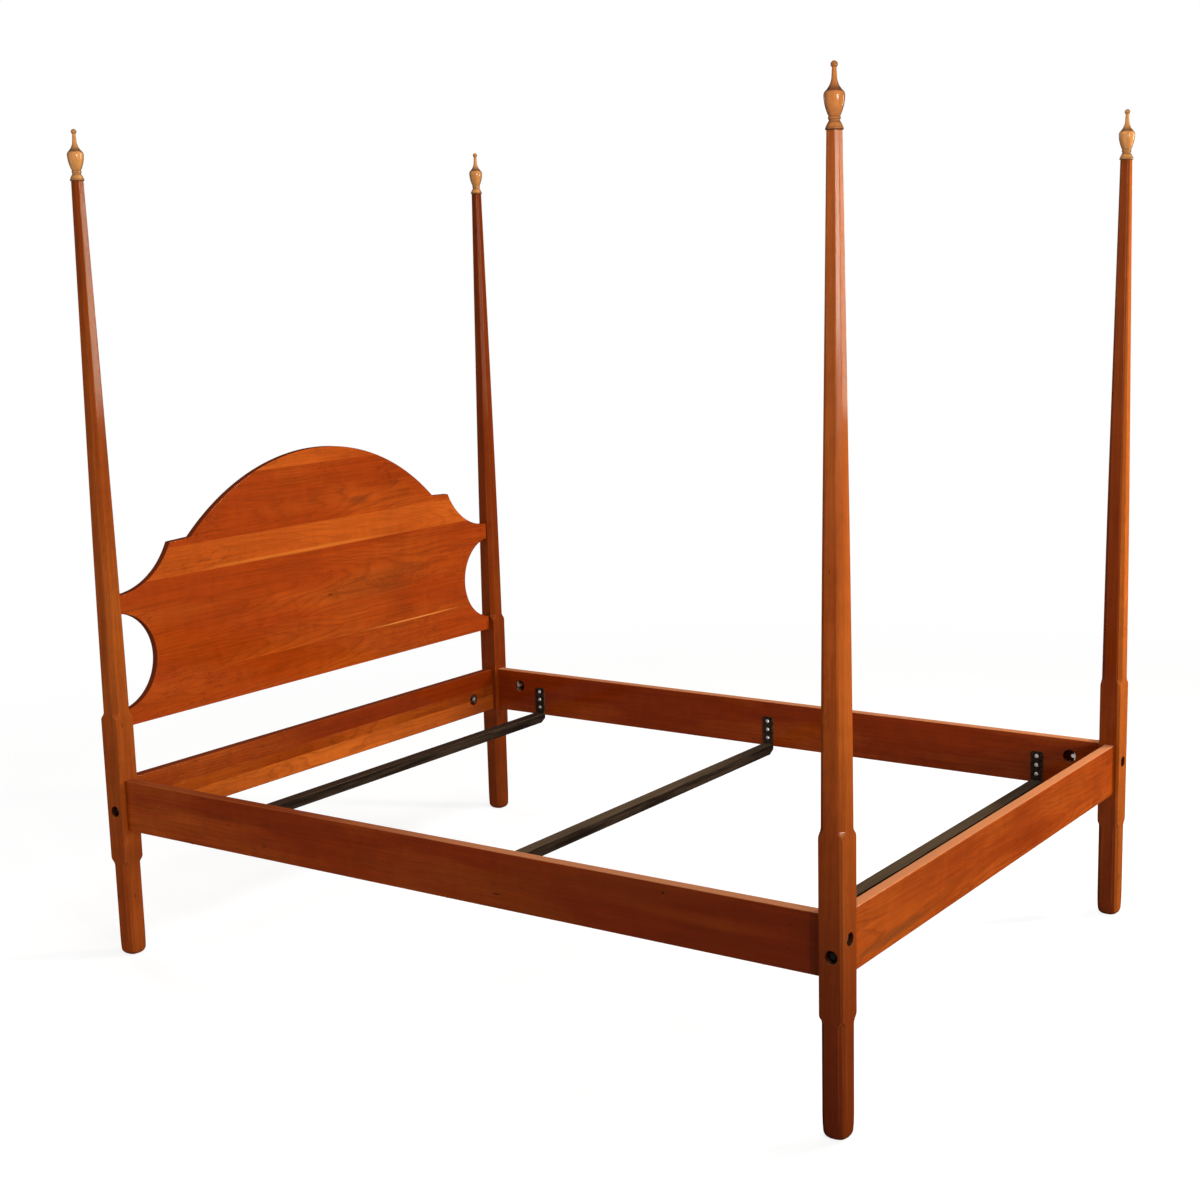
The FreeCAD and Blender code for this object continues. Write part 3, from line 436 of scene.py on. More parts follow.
def soft_polygon(distances, angle, crispness):
    """Return the distance from the axis to a many-sided section with soft arrises.

    Each side alone would give its distance over the cosine of the angle to it. The inverses of these are
    raised to a high power and added up, and the root of the sum is inverted: far from an arris the
    nearest side decides, and close to one two sides share, which rounds it.
    """
    total = 0
    for place, distance in enumerate(distances):
        facing = np.clip(np.cos(angle - place * 2 * math.pi / len(distances)), 0, None)
        total = total + (facing * distances[0] / distance) ** crispness
    return distances[0] * total ** (-1 / crispness)


print("shape helpers ready")

# %% [markdown]
# Cherry is a quiet wood. Its growth rings show as long arches on a sawn face, its fibres as fine streaks
# that all run one way, and now and then there is a small dark gum fleck. It darkens with age to a warm
# red brown. The rings are made as they grow: nested tubes round a line, the pith, which lies outside the
# board and a little askew to it, so each face cuts them as a saw would. Where several boards are glued
# side by side, each takes its own tone and its own part of the tree.

# %% Cherry wood
GRAIN = {"x": ("Y", "Z", "X"), "y": ("X", "Z", "Y"), "z": ("X", "Y", "Z")}
RAIL_WOOD = (paint(118, 39, 6), paint(186, 92, 28))
POST_WOOD = (paint(130, 50, 10), paint(180, 92, 32))
BOARD_WOOD = (paint(146, 54, 10), paint(188, 90, 26))
# Painted shade: the dark hue low on the posts and in shaded patches on the rails.
PAINTED_SHADE_WOOD = paint(78, 22, 2)
# Painted light: the paler, browner hue high up on the posts.
PAINTED_LIGHT_WOOD = paint(156, 80, 34)
FINIAL_WOOD = (paint(176, 104, 46), paint(218, 152, 84))
RING_DARK = paint(92, 32, 8)
FLECK_DARK = paint(52, 16, 6)
# Painted shade: the near black inside bores and creases.
BORE_SHADE_DARK = paint(30, 10, 4)
WORN_PALE = paint(206, 118, 60)
# Painted highlight: the pale spot on one post's upper stop.
PAINTED_HIGHLIGHT_PALE = paint(250, 186, 140)
# Painted light: the pale hue of faces that look up.
PAINTED_TOP_LIGHT = paint(236, 164, 116)
SMOKE = paint(92, 52, 22)
# COAT is the varnish's weight; the second number is how much painted light makes faces that look up paler.
COAT, TOP_LIGHT_SHARE = 0.008, 0.45
RING_BEND, RING_SHARE, WHORL_SHARE = 0.075, 0.34, 0.36


def glued_boards(tree, level, boards, low, high):
    """Return each board's tone, shift and pith, looked up by where it lies across the glue lines.

    boards lists, from the lowest up: where it starts, tone from red to golden, shift, and pith. All
    are kept as the flat steps of a colour ramp between low and high.
    """
    inputs = {"Value": level, "From Min": low, "From Max": high}
    ramp = add_node(tree, "ShaderNodeValToRGB", {0: add_node(tree, "ShaderNodeMapRange", inputs).outputs[0]})
    steps = ramp.color_ramp
    steps.interpolation = "CONSTANT"
    while len(steps.elements) < len(boards):
        steps.elements.new(0.5)
    for step, (start, tone, shift, pith) in zip(steps.elements, boards):
        step.position = (start - low) / (high - low)
        step.color = (tone, shift, (pith - low) / (high - low), 1)
    parts = add_node(tree, "ShaderNodeSeparateColor", {0: ramp.outputs[0]}).outputs
    pith = reckon(tree, "MULTIPLY_ADD", parts[2], high - low, low)
    return parts[0], parts[1], pith


def fibres(tree, lumber, across, along, *rest):
    """Return a noise drawn out along the grain: about so many patches to the metre across it and along it."""
    return noise(tree, reckon_vector(tree, "MULTIPLY", lumber, (across, across, along)), 1.0, *rest)


def cherry(name, grain, pith, boards, across, hues, slope, ring, figure, marks=(), low_shade=0.0, upper=0.0,
           dim=1.0, lean=0.0, coat=COAT, slant_shade=0.0, dusted=TOP_LIGHT_SHARE, fresh=TOP_LIGHT_SHARE, rim=None):
    """Make a cherry wood whose grain runs along an axis; hues are its red and its golden tone.

    The distance from the pith, bent by a slow noise, divided by the width of a ring gives the rings, and
    figure is how strong they are. pith is that line's place on the first cross axis. Each board has its
    own place for it on the second one, along which the boards lie side by side between the two numbers
    of across. slope is how far it leans on both axes for each metre of length, and lean is the same for
    a glue line. marks lists stains, patches of painted shade and a painted highlight: place, reach, hue
    and strength. deep is how much painted shade darkens the wood near the floor, upper how much painted
    light makes it paler and browner near the top, and dim is a plain shade. coat is the weight of the
    varnish, and amber is how much painted shade darkens it where the eye meets it at a slant. dusted is
    how much painted light makes a face that looks up paler towards the foot of the bed, and fresh the
    same towards its head. rim is the hue of painted shade on a panel's sawn edge, which looks neither
    to -Y nor to +Y.
    """
    material, tree, shader = new_material(name)
    coordinate = add_node(tree, "ShaderNodeTexCoord").outputs
    place = coordinate["Object"]
    parts, facing = split(tree, place), split(tree, coordinate["Normal"])
    first, second, along = (parts[letter] for letter in GRAIN[grain])
    level = reckon(tree, "MULTIPLY_ADD", along, -lean, second)
    tone, shift, board_pith = glued_boards(tree, level, boards, *across)
    moved = reckon(tree, "MULTIPLY_ADD", shift, 3.7, along)
    first_moved = reckon(tree, "MULTIPLY_ADD", shift, 0.9, first)
    lumber = add_node(tree, "ShaderNodeCombineXYZ", {0: first_moved, 1: second, 2: moved}).outputs[0]

    # Slow noise, drawn out along the grain, bends the rings and clouds the colour.
    slow = fibres(tree, lumber, 5.5, 1.35, 3.0, 0.55)
    bend = split(tree, reckon_vector(tree, "SUBTRACT", slow["Color"], (0.5, 0.5, 0.5)))
    offsets = {}
    for axis, start, length, middle in ((0, first, along, pith), (1, second, moved, board_pith)):
        straight = reckon(tree, "MULTIPLY_ADD", length, slope[axis], start)
        straight = reckon(tree, "SUBTRACT", straight, middle)
        offsets[axis] = reckon(tree, "MULTIPLY_ADD", bend[axis], RING_BEND * figure, straight)
    far = reckon_vector(tree, "LENGTH", add_node(tree, "ShaderNodeCombineXYZ", offsets).outputs[0])
    turns = reckon(tree, "FRACT", reckon(tree, "DIVIDE", far, ring))
    late = times(tree, ease(tree, turns, 0.50, 0.93), ease(tree, turns, 1.0, 0.93),
                 ease(tree, slow["Fac"], 0.38, 0.62, 0.35, 1.0))

    # Here and there the rings curl into fine dark contour lines: the places where a slow noise passes a half.
    whorl = reckon(tree, "SUBTRACT", fibres(tree, lumber, 15, 4.4, 4.0, 0.6, 0.9)[0], 0.5)
    whorl = ease(tree, reckon(tree, "ABSOLUTE", whorl), 0.0, 0.022, 1.0, 0.0)
    whorl = times(tree, whorl, ease(tree, bend[2], -0.04, 0.08))

    # Fibres: streaks at three widths, a curl across them and small flecks of gum.
    coarse = fibres(tree, lumber, 170, 4.5, 3.0, 0.6)[0]
    fine = fibres(tree, lumber, 900, 22, 2.0, 0.6)[0]
    broad = fibres(tree, lumber, 48, 1.5, 2.0, 0.55)[0]
    curl = fibres(tree, lumber, 16, 26, 2.0, 0.5, 0.6)[0]
    gum = fibres(tree, lumber, 70, 17, 1.0, 0.4)[0]
    streak = times(tree, ease(tree, coarse, 0.25, 0.75, 0.88 * dim, 1.11 * dim),
                   ease(tree, broad, 0.3, 0.7, 0.94, 1.06), ease(tree, fine, 0.2, 0.8, 0.88, 1.10),
                   ease(tree, curl, 0.3, 0.7, 0.95, 1.05))

    # Colour: the board's tone, clouded, then rings, painted shade low down, painted light high up and
    # streaks, then flecks, stains, patches of painted shade and a painted highlight.
    cloud = reckon(tree, "MULTIPLY_ADD", ease(tree, slow["Fac"], 0.3, 0.7), 0.5, -0.25)
    # Painted shade: darker towards the floor, less so on a light board.
    low_shade_share = times(tree, ease(tree, parts["Z"], 1.35, -0.10, 0.0, low_shade), ease(tree, tone, 0.25, 1.0, 1.0, 0.6))
    colour = lay_over(tree, hues[0], [
        (reckon(tree, "ADD", tone, cloud), hues[1]),
        (times(tree, late, RING_SHARE * figure), RING_DARK),
        (times(tree, whorl, WHORL_SHARE * figure), RING_DARK),
        (low_shade_share, PAINTED_SHADE_WOOD),
        # Painted light: paler and browner towards the top.
        (ease(tree, parts["Z"], 0.90, 1.60, 0.0, upper), PAINTED_LIGHT_WOOD),
    ])
    colour = dim_by(tree, colour, streak)
    layers = [(times(tree, ease(tree, gum, 0.775, 0.83), 0.75), FLECK_DARK)]
    ragged = reckon(tree, "MULTIPLY_ADD", slow["Fac"], -1.6, 0.8)
    for spot, reach, hue, strength in marks:
        near = reckon_vector(tree, "DIVIDE", reckon_vector(tree, "SUBTRACT", place, spot), reach)
        near = reckon(tree, "ADD", reckon_vector(tree, "LENGTH", near), ragged)
        layers.append((ease(tree, near, 1.0, 0.25, 0.0, strength), hue))

    # End grain drinks more finish, and a worn arris shows paler wood. A face that looks up is made paler by
    # painted light, a sawn edge gets painted shade, and the inside of a bore gets near-black painted shade.
    bore = note(tree, "bore")
    end_grain = ease(tree, reckon(tree, "ABSOLUTE", facing[GRAIN[grain][2]]), 0.35, 0.95, 0.0, 0.5)
    pale = ease(tree, parts["Y"], -0.25, 0.55, dusted, fresh)
    pale = times(tree, ease(tree, facing["Z"], 0.45, 0.95), pale)
    rubbed = times(tree, note(tree, "arris"), ease(tree, coarse, 0.3, 0.7, 0.03, 0.22))
    layers += [(end_grain, RING_DARK), (pale, PAINTED_TOP_LIGHT), (rubbed, WORN_PALE)]
    if rim:
        # Painted shade on sawn edges, which look neither to -Y nor to +Y.
        layers.append((ease(tree, reckon(tree, "ABSOLUTE", facing["Y"]), 0.96, 0.62, 0.0, 0.92), rim))
    layers.append((times(tree, bore, 0.9), BORE_SHADE_DARK))
    colour = lay_over(tree, colour, layers)
    # Painted shade: darker where the eye meets the surface at a slant.
    if slant_shade:
        slant = add_node(tree, "ShaderNodeLayerWeight", {"Blend": 0.5}).outputs["Facing"]
        colour = dim_by(tree, colour, ease(tree, slant, 0.2, 0.95, 1.0, 1.0 - slant_shade))

    # Satin varnish: smoother where hands rub, with the fibres just felt under it.
    satin = ease(tree, noise(tree, place, 7.0, 3.0, 0.6)[0], 0.3, 0.7, 0.22, 0.32)
    satin = reckon(tree, "ADD", satin, ease(tree, coarse, 0.3, 0.7, -0.03, 0.05))
    relief = reckon(tree, "MULTIPLY_ADD", fine, 0.5, coarse)
    relief = reckon(tree, "MULTIPLY_ADD", late, -0.25, relief)
    felt = add_node(tree, "ShaderNodeBump", {"Height": relief, "Strength": 0.16, "Distance": 0.4 * MM})
    feed(tree, shader, {
        "Base Color": colour, "Roughness": reckon(tree, "MULTIPLY_ADD", bore, 0.35, satin),
        "Normal": felt.outputs[0], "IOR": 1.45, "Specular IOR Level": 0.0,
        "Coat Weight": coat, "Coat IOR": 4.0, "Coat Roughness": 0.11,
    })
    return material


print("cherry ready")

# %% [markdown]
# The metal is plain shop hardware. The cross irons were dipped in a brown-black paint that has worn thin
# along the edges and gathered dust on top. Screws and nuts are zinc plated, with the mottled bloom of old
# zinc. The bolts and washers of the end rails are near black, painted shade for their shaded recesses,
# and those of the side rails a lighter brown, painted light for their lit ones. Bare metal shows what it
# mirrors, so roughness does most for it.

# %% Steel
def steel(name, colour, bloom, metallic, rough, size, gloss=0.5, wear=None, drawn=1.0, dust=None):
    """Make a metal whose colour and roughness wander between two values with a fine mottle.

    drawn is how many times longer than wide the mottle is along X, as on a rolled and brushed bar. wear
    is the hue of worn edges. dust lies in patches on what looks up, thinner towards the end at +X.
    """
    material, tree, shader = new_material(name)
    coordinate = add_node(tree, "ShaderNodeTexCoord").outputs
    place = reckon_vector(tree, "MULTIPLY", coordinate["Object"], (1 / drawn, 1, 1))
    patch = noise(tree, place, 1 / size, 4.0, 0.65)[0]
    grit = noise(tree, place, 6 / size, 3.0, 0.7)[0]
    pitted = (*(0.55 * part for part in colour[:3]), 1)
    layers = [(ease(tree, patch, 0.35, 0.68), bloom), (ease(tree, grit, 0.55, 0.8, 0.0, 0.35), pitted)]
    if dust:
        upward, far = split(tree, coordinate["Normal"])["Z"], split(tree, coordinate["Object"])["X"]
        lying = times(tree, ease(tree, upward, 0.45, 0.95), ease(tree, far, 0.10, 0.72, 1.0, 0.45),
                      ease(tree, patch, 0.3, 0.7, 0.68, 1.0))
        layers.append((lying, dust))
    if wear:
        layers.append((times(tree, note(tree, "arris"), ease(tree, patch, 0.4, 0.6, 0.15, 0.8)), wear))
    felt = add_node(tree, "ShaderNodeBump", {"Height": grit, "Strength": 0.25, "Distance": 0.15 * MM})
    feed(tree, shader, {
        "Base Color": lay_over(tree, colour, layers), "Metallic": metallic, "Specular IOR Level": gloss,
        "Roughness": ease(tree, grit, 0.3, 0.7, rough - 0.07, rough + 0.10), "Normal": felt.outputs[0],
    })
    return material


IRON_DUST = {"foot": paint(93, 76, 59), "middle": paint(92, 75, 59), "head": paint(62, 46, 37)}
IRON_STEEL = {
    place: steel("iron_steel_" + place, paint(28, 21, 17), paint(58, 46, 37), 0.0, 0.52, 8 * MM, 0.0,
                 paint(100, 84, 68), 24, dust)
    for place, dust in IRON_DUST.items()
}
SCREW_STEEL = steel("screw_steel", paint(196, 188, 184), paint(160, 150, 146), 1.0, 0.34, 3 * MM)
# The end rails' bolts and washers are near black as painted shade for their shaded recesses, and the side
# rails' a lighter brown as painted light for their lit ones.
SHADED_BOLT_METAL = steel("bolt_steel", paint(24, 22, 22), paint(14, 12, 12), 0.2, 0.45, 5 * MM, 0.05)
LIT_BOLT_METAL = steel("lit_bolt_steel", paint(150, 116, 84), paint(70, 50, 36), 0.5, 0.40, 4 * MM, 0.3)
NUT_STEEL = steel("nut_steel", paint(226, 220, 214), paint(156, 150, 144), 1.0, 0.30, 5 * MM)
PIN_STEEL = steel("pin_steel", paint(176, 174, 172), paint(140, 138, 136), 1.0, 0.24, 6 * MM)
print("steels", [material.name for material in bpy.data.materials if "steel" in material.name])

# %% [markdown]
# A post starts as a square blank. Its shaft tapers in a slow curve and then straight, and stopped
# chamfers make shaft and foot eight-sided, each ending in a small double curve against the square block
# where the rails join. Seen from above, every height of the post is the same shape: four sides at one
# distance from the axis and four chamfers at another. So the post is one surface of height and angle.

# %% The shape of a post
BLOCK_BOTTOM, BLOCK_TOP = 268 * MM, 632 * MM
TAPER_HEIGHT, TAPER_HALF, TAPER_SWELL = 1300 * MM, 22.6 * MM, 0.65 * MM
TOP_HALF, TOP_EASE = 13.25 * MM, 0.7 * MM
STOP, CHAMFER_SHARE = 25 * MM, 0.22
FOOT_ROUND = 14 * MM
PIN_HOLE, PIN_HOLE_DEPTH, PIN_HOLE_EASE = 4.85 * MM, 40 * MM, 0.5 * MM
CRISPNESS, FOOT_SOFTNESS = 75, 6


def side_distance(height):
    """Return how far a post's flat sides lie from its axis.

    Half the block's width up to the stop, then a straight line between two widths plus a parabola that
    is highest half way, then a straight line again.
    """
    share = np.clip((height - BLOCK_TOP - STOP) / (TAPER_HEIGHT - BLOCK_TOP - STOP), 0, 1)
    curved = POST_HALF + (TAPER_HALF - POST_HALF) * share + 4 * TAPER_SWELL * share * (1 - share)
    upper = np.clip((height - TAPER_HEIGHT) / (POST_HEIGHT - TAPER_HEIGHT), 0, 1)
    return np.where(height < TAPER_HEIGHT, curved, TAPER_HALF + (TOP_HALF - TAPER_HALF) * upper)


def stop_share(way):
    """Return how far a chamfer has sunk after a share of its stop: two equal arcs, smooth at both ends."""
    way = np.clip(way, 0, 1)
    fall = POST_HALF * math.sqrt(2) * CHAMFER_SHARE
    radius = ((STOP / 2) ** 2 + (fall / 2) ** 2) / fall
    first = radius - np.sqrt(radius ** 2 - np.minimum(way, 0.5) ** 2 * STOP ** 2)
    last = radius - np.sqrt(radius ** 2 - np.minimum(1 - way, 0.5) ** 2 * STOP ** 2)
    return np.where(way < 0.5, first, fall - last) / fall


def chamfer_distance(height):
    """Return how far a post's chamfers lie from its axis; beside the block they only touch its corners."""
    upper = stop_share((height - BLOCK_TOP) / STOP)
    lower = stop_share((BLOCK_BOTTOM - height) / STOP)
    return side_distance(height) * math.sqrt(2) * (1 - CHAMFER_SHARE * np.maximum(upper, lower))


print("side at 1 m: %.2f mm" % (float(side_distance(np.array(1.0))) / MM))

# %% The rings of a post
def post_rings():
    """Return a post's rings about its axis: a rounded foot, the faces, an eased top and the pin hole.

    The columns gather round the arrises, whose angle is found from the two distances of each height.
    """
    quarter = np.linspace(0, math.pi / 2, 9)
    foot = FOOT_ROUND * (1 - np.cos(quarter))
    stops = np.linspace(0, STOP, 17)
    top = np.linspace(0, math.pi / 2, 5)
    crown = TOP_EASE * np.sin(top)
    height = np.concatenate([
        foot,
        np.linspace(FOOT_ROUND, BLOCK_BOTTOM - STOP, 17)[1:-1],
        BLOCK_BOTTOM - STOP + stops,
        [BLOCK_BOTTOM + 2 * MM, BLOCK_BOTTOM + 40 * MM, BLOCK_TOP - 40 * MM, BLOCK_TOP - 2 * MM],
        BLOCK_TOP + stops,
        np.linspace(BLOCK_TOP + STOP, TAPER_HEIGHT, 24)[1:],
        np.linspace(TAPER_HEIGHT, POST_HEIGHT - TOP_EASE, 9)[1:-1],
        [POST_HEIGHT - TOP_EASE - 1.5 * MM],
        POST_HEIGHT - TOP_EASE + crown,
    ])
    inset = np.zeros_like(height)
    inset[:len(foot)] = FOOT_ROUND * (1 - np.sin(quarter))
    inset[-len(crown):] = TOP_EASE * (1 - np.cos(top))
    side = (side_distance(height) - inset)[:, None]
    chamfer = (chamfer_distance(height) - inset)[:, None]
    arris = np.arctan(np.clip(math.sqrt(2) * chamfer / side - 1, 0, 1))
    start = arris - math.radians(3.2)
    flat = start * np.array([0, 0.5, 0.94])
    corner = start + (math.pi / 4 - start) * np.linspace(0, 1, 19)
    half = np.hstack([flat, corner])
    quadrant = np.hstack([half, math.pi / 2 - half[:, -2:0:-1]])
    angle = np.hstack([quadrant + turn * math.pi / 2 for turn in range(4)])
    firmness = np.clip(height / (4 * FOOT_ROUND), 0, 1)[:, None] ** 2
    radius = soft_polygon([side, chamfer] * 4, angle, FOOT_SOFTNESS + (CRISPNESS - FOOT_SOFTNESS) * firmness)
    hole_radius = (PIN_HOLE + PIN_HOLE_EASE * np.array([1, 0, 0, -1]))[:, None]
    hole_height = POST_HEIGHT - np.array([0, PIN_HOLE_EASE, PIN_HOLE_DEPTH - PIN_HOLE_EASE, PIN_HOLE_DEPTH])
    radius = np.vstack([radius, hole_radius + 0 * angle[:4]])
    angle = np.vstack([angle, np.repeat(angle[-1:], 4, 0)])
    return around(radius, angle, np.concatenate([height, hole_height])[:, None])


POST_RINGS = post_rings()
print("post rings", POST_RINGS.shape)

# %% [markdown]
# The bed bolts go in from outside. Each has a wide recess for its head and washer and a narrow hole
# beyond it. A drill bit is a profile turned about its axis, and the mouth of the recess is eased a little,
# as a workshop does to keep the varnish from chipping. Mortises take the tenons of rails and headboard.

# %% Drilling and mortising the posts
COUNTERBORE, COUNTERBORE_DEPTH = 14 * MM, 16 * MM
OVERRUN = 12 * MM


def drill(axis, sense, mouth, stages, ease_mouth=BORE_EASE):
    """Return a drill bit that enters at mouth, a place on its axis, and cuts towards the inside.

    stages lists radius and depth, widest first. sense is the outward direction along the axis.
    """
    widest = stages[0][0]
    profile = [(widest + ease_mouth, OVERRUN), (widest + ease_mouth, 0.02 * MM), (widest, -ease_mouth)]
    for place, (radius, depth) in enumerate(stages):
        profile.append((radius, -depth))
        if place + 1 < len(stages):
            profile.append((stages[place + 1][0], -depth))
    rings = lay_along(turn_round(profile, 48), axis, sense)
    return skin(rings + np.array(mouth))


def block(low, high):
    """Return a plain box between two corners, for a mortise."""
    low, high = np.minimum(low, high), np.maximum(low, high)
    corner = np.array([(0, 0), (1, 0), (1, 1), (0, 1)])
    flat = low[:2] + corner * (high[:2] - low[:2])
    return skin(np.stack([np.column_stack([flat, np.full(4, level)]) for level in (low[2], high[2])]))


TENON_LOW, TENON_HIGH = 351 * MM, 465 * MM
TENON_HALF, TENON_LENGTH = 8 * MM, 12 * MM
BOARD_TENONS = ((614 * MM, 649.5 * MM), (910.5 * MM, 952 * MM))
BOARD_TENON_HALF, BOARD_TENON_LENGTH = 6.5 * MM, 20 * MM
GAP = 0.3 * MM


def joinery(corner):
    """Return every drill bit and mortise of one post."""
    side_x, side_y, axis = post_axis(corner)
    through = 2 * POST_HALF + OVERRUN
    stages = [(COUNTERBORE, COUNTERBORE_DEPTH), (BOLT_HOLE, through)]
    tools = [
        drill("x", side_x, axis + (side_x * POST_HALF, 0, END_BOLT_HEIGHT), stages),
        drill("y", side_y, axis + (0, side_y * POST_HALF, SIDE_BOLT_HEIGHT), stages),
    ]
    floor, mouth = POST_HALF - TENON_LENGTH - GAP, POST_HALF + OVERRUN
    half, low, high = TENON_HALF + GAP, TENON_LOW - GAP, TENON_HIGH + GAP
    tools.append(block(axis + (-side_x * floor, -half, low), axis + (-side_x * mouth, half, high)))
    tools.append(block(axis + (-half, -side_y * floor, low), axis + (half, -side_y * mouth, high)))
    if side_y > 0:
        floor, half = POST_HALF - BOARD_TENON_LENGTH - GAP, BOARD_TENON_HALF + GAP
        for low, high in BOARD_TENONS:
            tools.append(block(axis + (-side_x * floor, -half, low - GAP),
                               axis + (-side_x * mouth, half, high + GAP)))
    return tools


print("joinery of a head post:", len(joinery("head_left")), "cuts")

# %% [markdown]
# The posts' wood runs upwards. Each blank is glued from two boards, a thin one towards the foot end, and
# the glue line follows the taper close to that side, so it shows only as a change of tone at an arris.
# That thin board makes the face towards the foot, and its lighter tone is partly the wood and partly
# painted light on that lit face.

# %% The four posts
GLUE_LINE, GLUE_LEAN = -22 * MM, 5 * MM
# Each post: tone of the board towards the foot, tone of the other board, how much painted shade darkens it
# low down, how much painted light makes it paler high up, and a plain shade. The foot-side board is lighter
# partly as painted light on its lit face.
POST_TONES = {
    "head_left": (0.44, 0.18, 0.00, 0.0, 0.84), "head_right": (0.08, 0.00, 0.00, 0.0, 0.72),
    "foot_left": (0.62, 0.34, 1.00, 0.75, 0.99), "foot_right": (1.20, 0.00, 0.50, 0.3, 0.78),
}


def worn_arris(piece, axis_x, axis_y):
    """Return 1 on a post's arrises and 0 on its faces, from how nearly two sides meet at a point."""
    x, y, z = vertex_places(piece).T
    x, y = x - axis_x, y - axis_y
    side, chamfer = side_distance(z), chamfer_distance(z)
    order = np.arange(8)[:, None]
    turns = order * math.pi / 4
    reach = (x * np.cos(turns) + y * np.sin(turns)) / np.where(order % 2 == 0, side, chamfer)
    second = np.sort(reach, 0)[-2]
    return 1 - (1 - second) * side / (1.1 * MM)


def inside_bores(piece, bores):
    """Return 1 inside each bore and 0 elsewhere. A bore is its axis letter, its middle and its radius."""
    places = vertex_places(piece)
    inside = np.zeros(len(places))
    for letter, middle, radius in bores:
        across = [place for place, axis in enumerate("xyz") if axis != letter]
        far = np.hypot(*(places[:, across] - np.array(middle)[across]).T)
        along = np.abs(places[:, "xyz".index(letter)] - middle["xyz".index(letter)])
        inside = np.maximum(inside, (far < radius + 0.02 * MM) & (along < 2 * POST_HALF))
    return inside


def make_post(corner):
    """Make one post, cut its joints, and note its arrises and bores for the material."""
    side_x, _, middle = post_axis(corner)
    piece = new_piece("poster_" + corner, skin(POST_RINGS + middle))
    for tool in joinery(corner):
        work(piece, tool)
    mark(piece, "arris", worn_arris(piece, middle[0], middle[1]))
    # Painted shade goes inside the two bolt recesses.
    levels = {"x": END_BOLT_HEIGHT, "y": SIDE_BOLT_HEIGHT}
    bores = [(letter, middle + (0, 0, level), COUNTERBORE) for letter, level in levels.items()]
    mark(piece, "bore", inside_bores(piece, bores))
    near_tone, far_tone, low_shade, upper, dim = POST_TONES[corner]
    low, high = middle[1] - 0.1, middle[1] + 0.1
    boards = [(low, near_tone, 0.31 * side_x + 0.5, middle[1] - 0.09),
              (middle[1] + GLUE_LINE, far_tone, 0.77, middle[1] + 0.08)]
    # A painted highlight: a pale spot on the upper stop of the post at the foot left.
    highlight_spot = middle + (-0.62 * POST_HALF, -0.62 * POST_HALF, BLOCK_TOP + 0.6 * STOP)
    marks = [(highlight_spot, (0.011, 0.011, 0.007), PAINTED_HIGHLIGHT_PALE, 0.9)] if corner == "foot_left" else []
    wood = cherry("post_wood_" + corner, "z", middle[0] + 0.07, boards, (low, high), POST_WOOD,
                  (0.012, 0.016), 4.6 * MM, 0.5, marks, low_shade, upper, dim, GLUE_LEAN)
    dress(piece, wood, "bed", "post_" + corner)


for corner in CORNERS:
    make_post(corner)

# %% [markdown]
# The finials are turned on a lathe: flange, groove, bead, urn, crisp lip, flaring neck and ball. A lathe
# knows one thing, how far the tool stands from the axis at each height, so the profile is all there is to
# draw, and turning it gives the piece. Each one lifts off: its steel pin drops into the top of the post.

# %% The finials
FINIAL_PROFILE = [
    (16.6, 0.0, 0.9, 9), (16.6, 4.2, 0.5, 8), (11.1, 15.3, -0.6, 7), (11.1, 18.9, 1.0, 9),
    (11.1, 24.0, 0, 2), (11.4, 25.6, 1.95, 18), (20.2, 62.0, 1.07, 10), (16.1, 71.0, -2.4, 16),
    (5.2, 95.0, 0, 6), (4.3, 112.434, 0, 1),
]
FINIAL_HEIGHT, BALL_RADIUS = 124.5, 6.8
PIN_RADIUS, PIN_IN_FINIAL = 4.75, 22
PIN_PROFILE = [(2.6, -36.0), (3.6, -35.6), (4.4, -34.9), (4.75, -34.0), (4.75, 21.6), (4.4, 22.0)]
CREASES = np.array([0.0, 4.6, 15.3, 18.9, 24.3, 71.0, 112.4])
# The foot-left finial's low tone is painted shade, offsetting the near lamp that lights it more than the
# others.
FINIAL_TONES = {"head_left": 0.75, "head_right": 0.8, "foot_left": 0.25, "foot_right": 0.75}


def finial_profile():
    """Return radius and height along a finial, from its pin hole round its outside to its tip."""
    hole = [(0.2, PIN_IN_FINIAL), (PIN_RADIUS, PIN_IN_FINIAL), (PIN_RADIUS, 0.3), (PIN_RADIUS + 0.3, 0.0)]
    runs = [np.array(hole)]
    for (radius, level, swell, steps), following in zip(FINIAL_PROFILE, FINIAL_PROFILE[1:]):
        runs.append(bow((radius, level), following[:2], swell, steps + 1)[:-1])
    middle = FINIAL_HEIGHT - BALL_RADIUS
    angle = np.linspace(-math.acos(FINIAL_PROFILE[-1][0] / BALL_RADIUS), math.pi / 2, 18)[:-1]
    runs.append(np.column_stack([BALL_RADIUS * np.cos(angle), middle + BALL_RADIUS * np.sin(angle)]))
    return np.vstack(runs) * MM


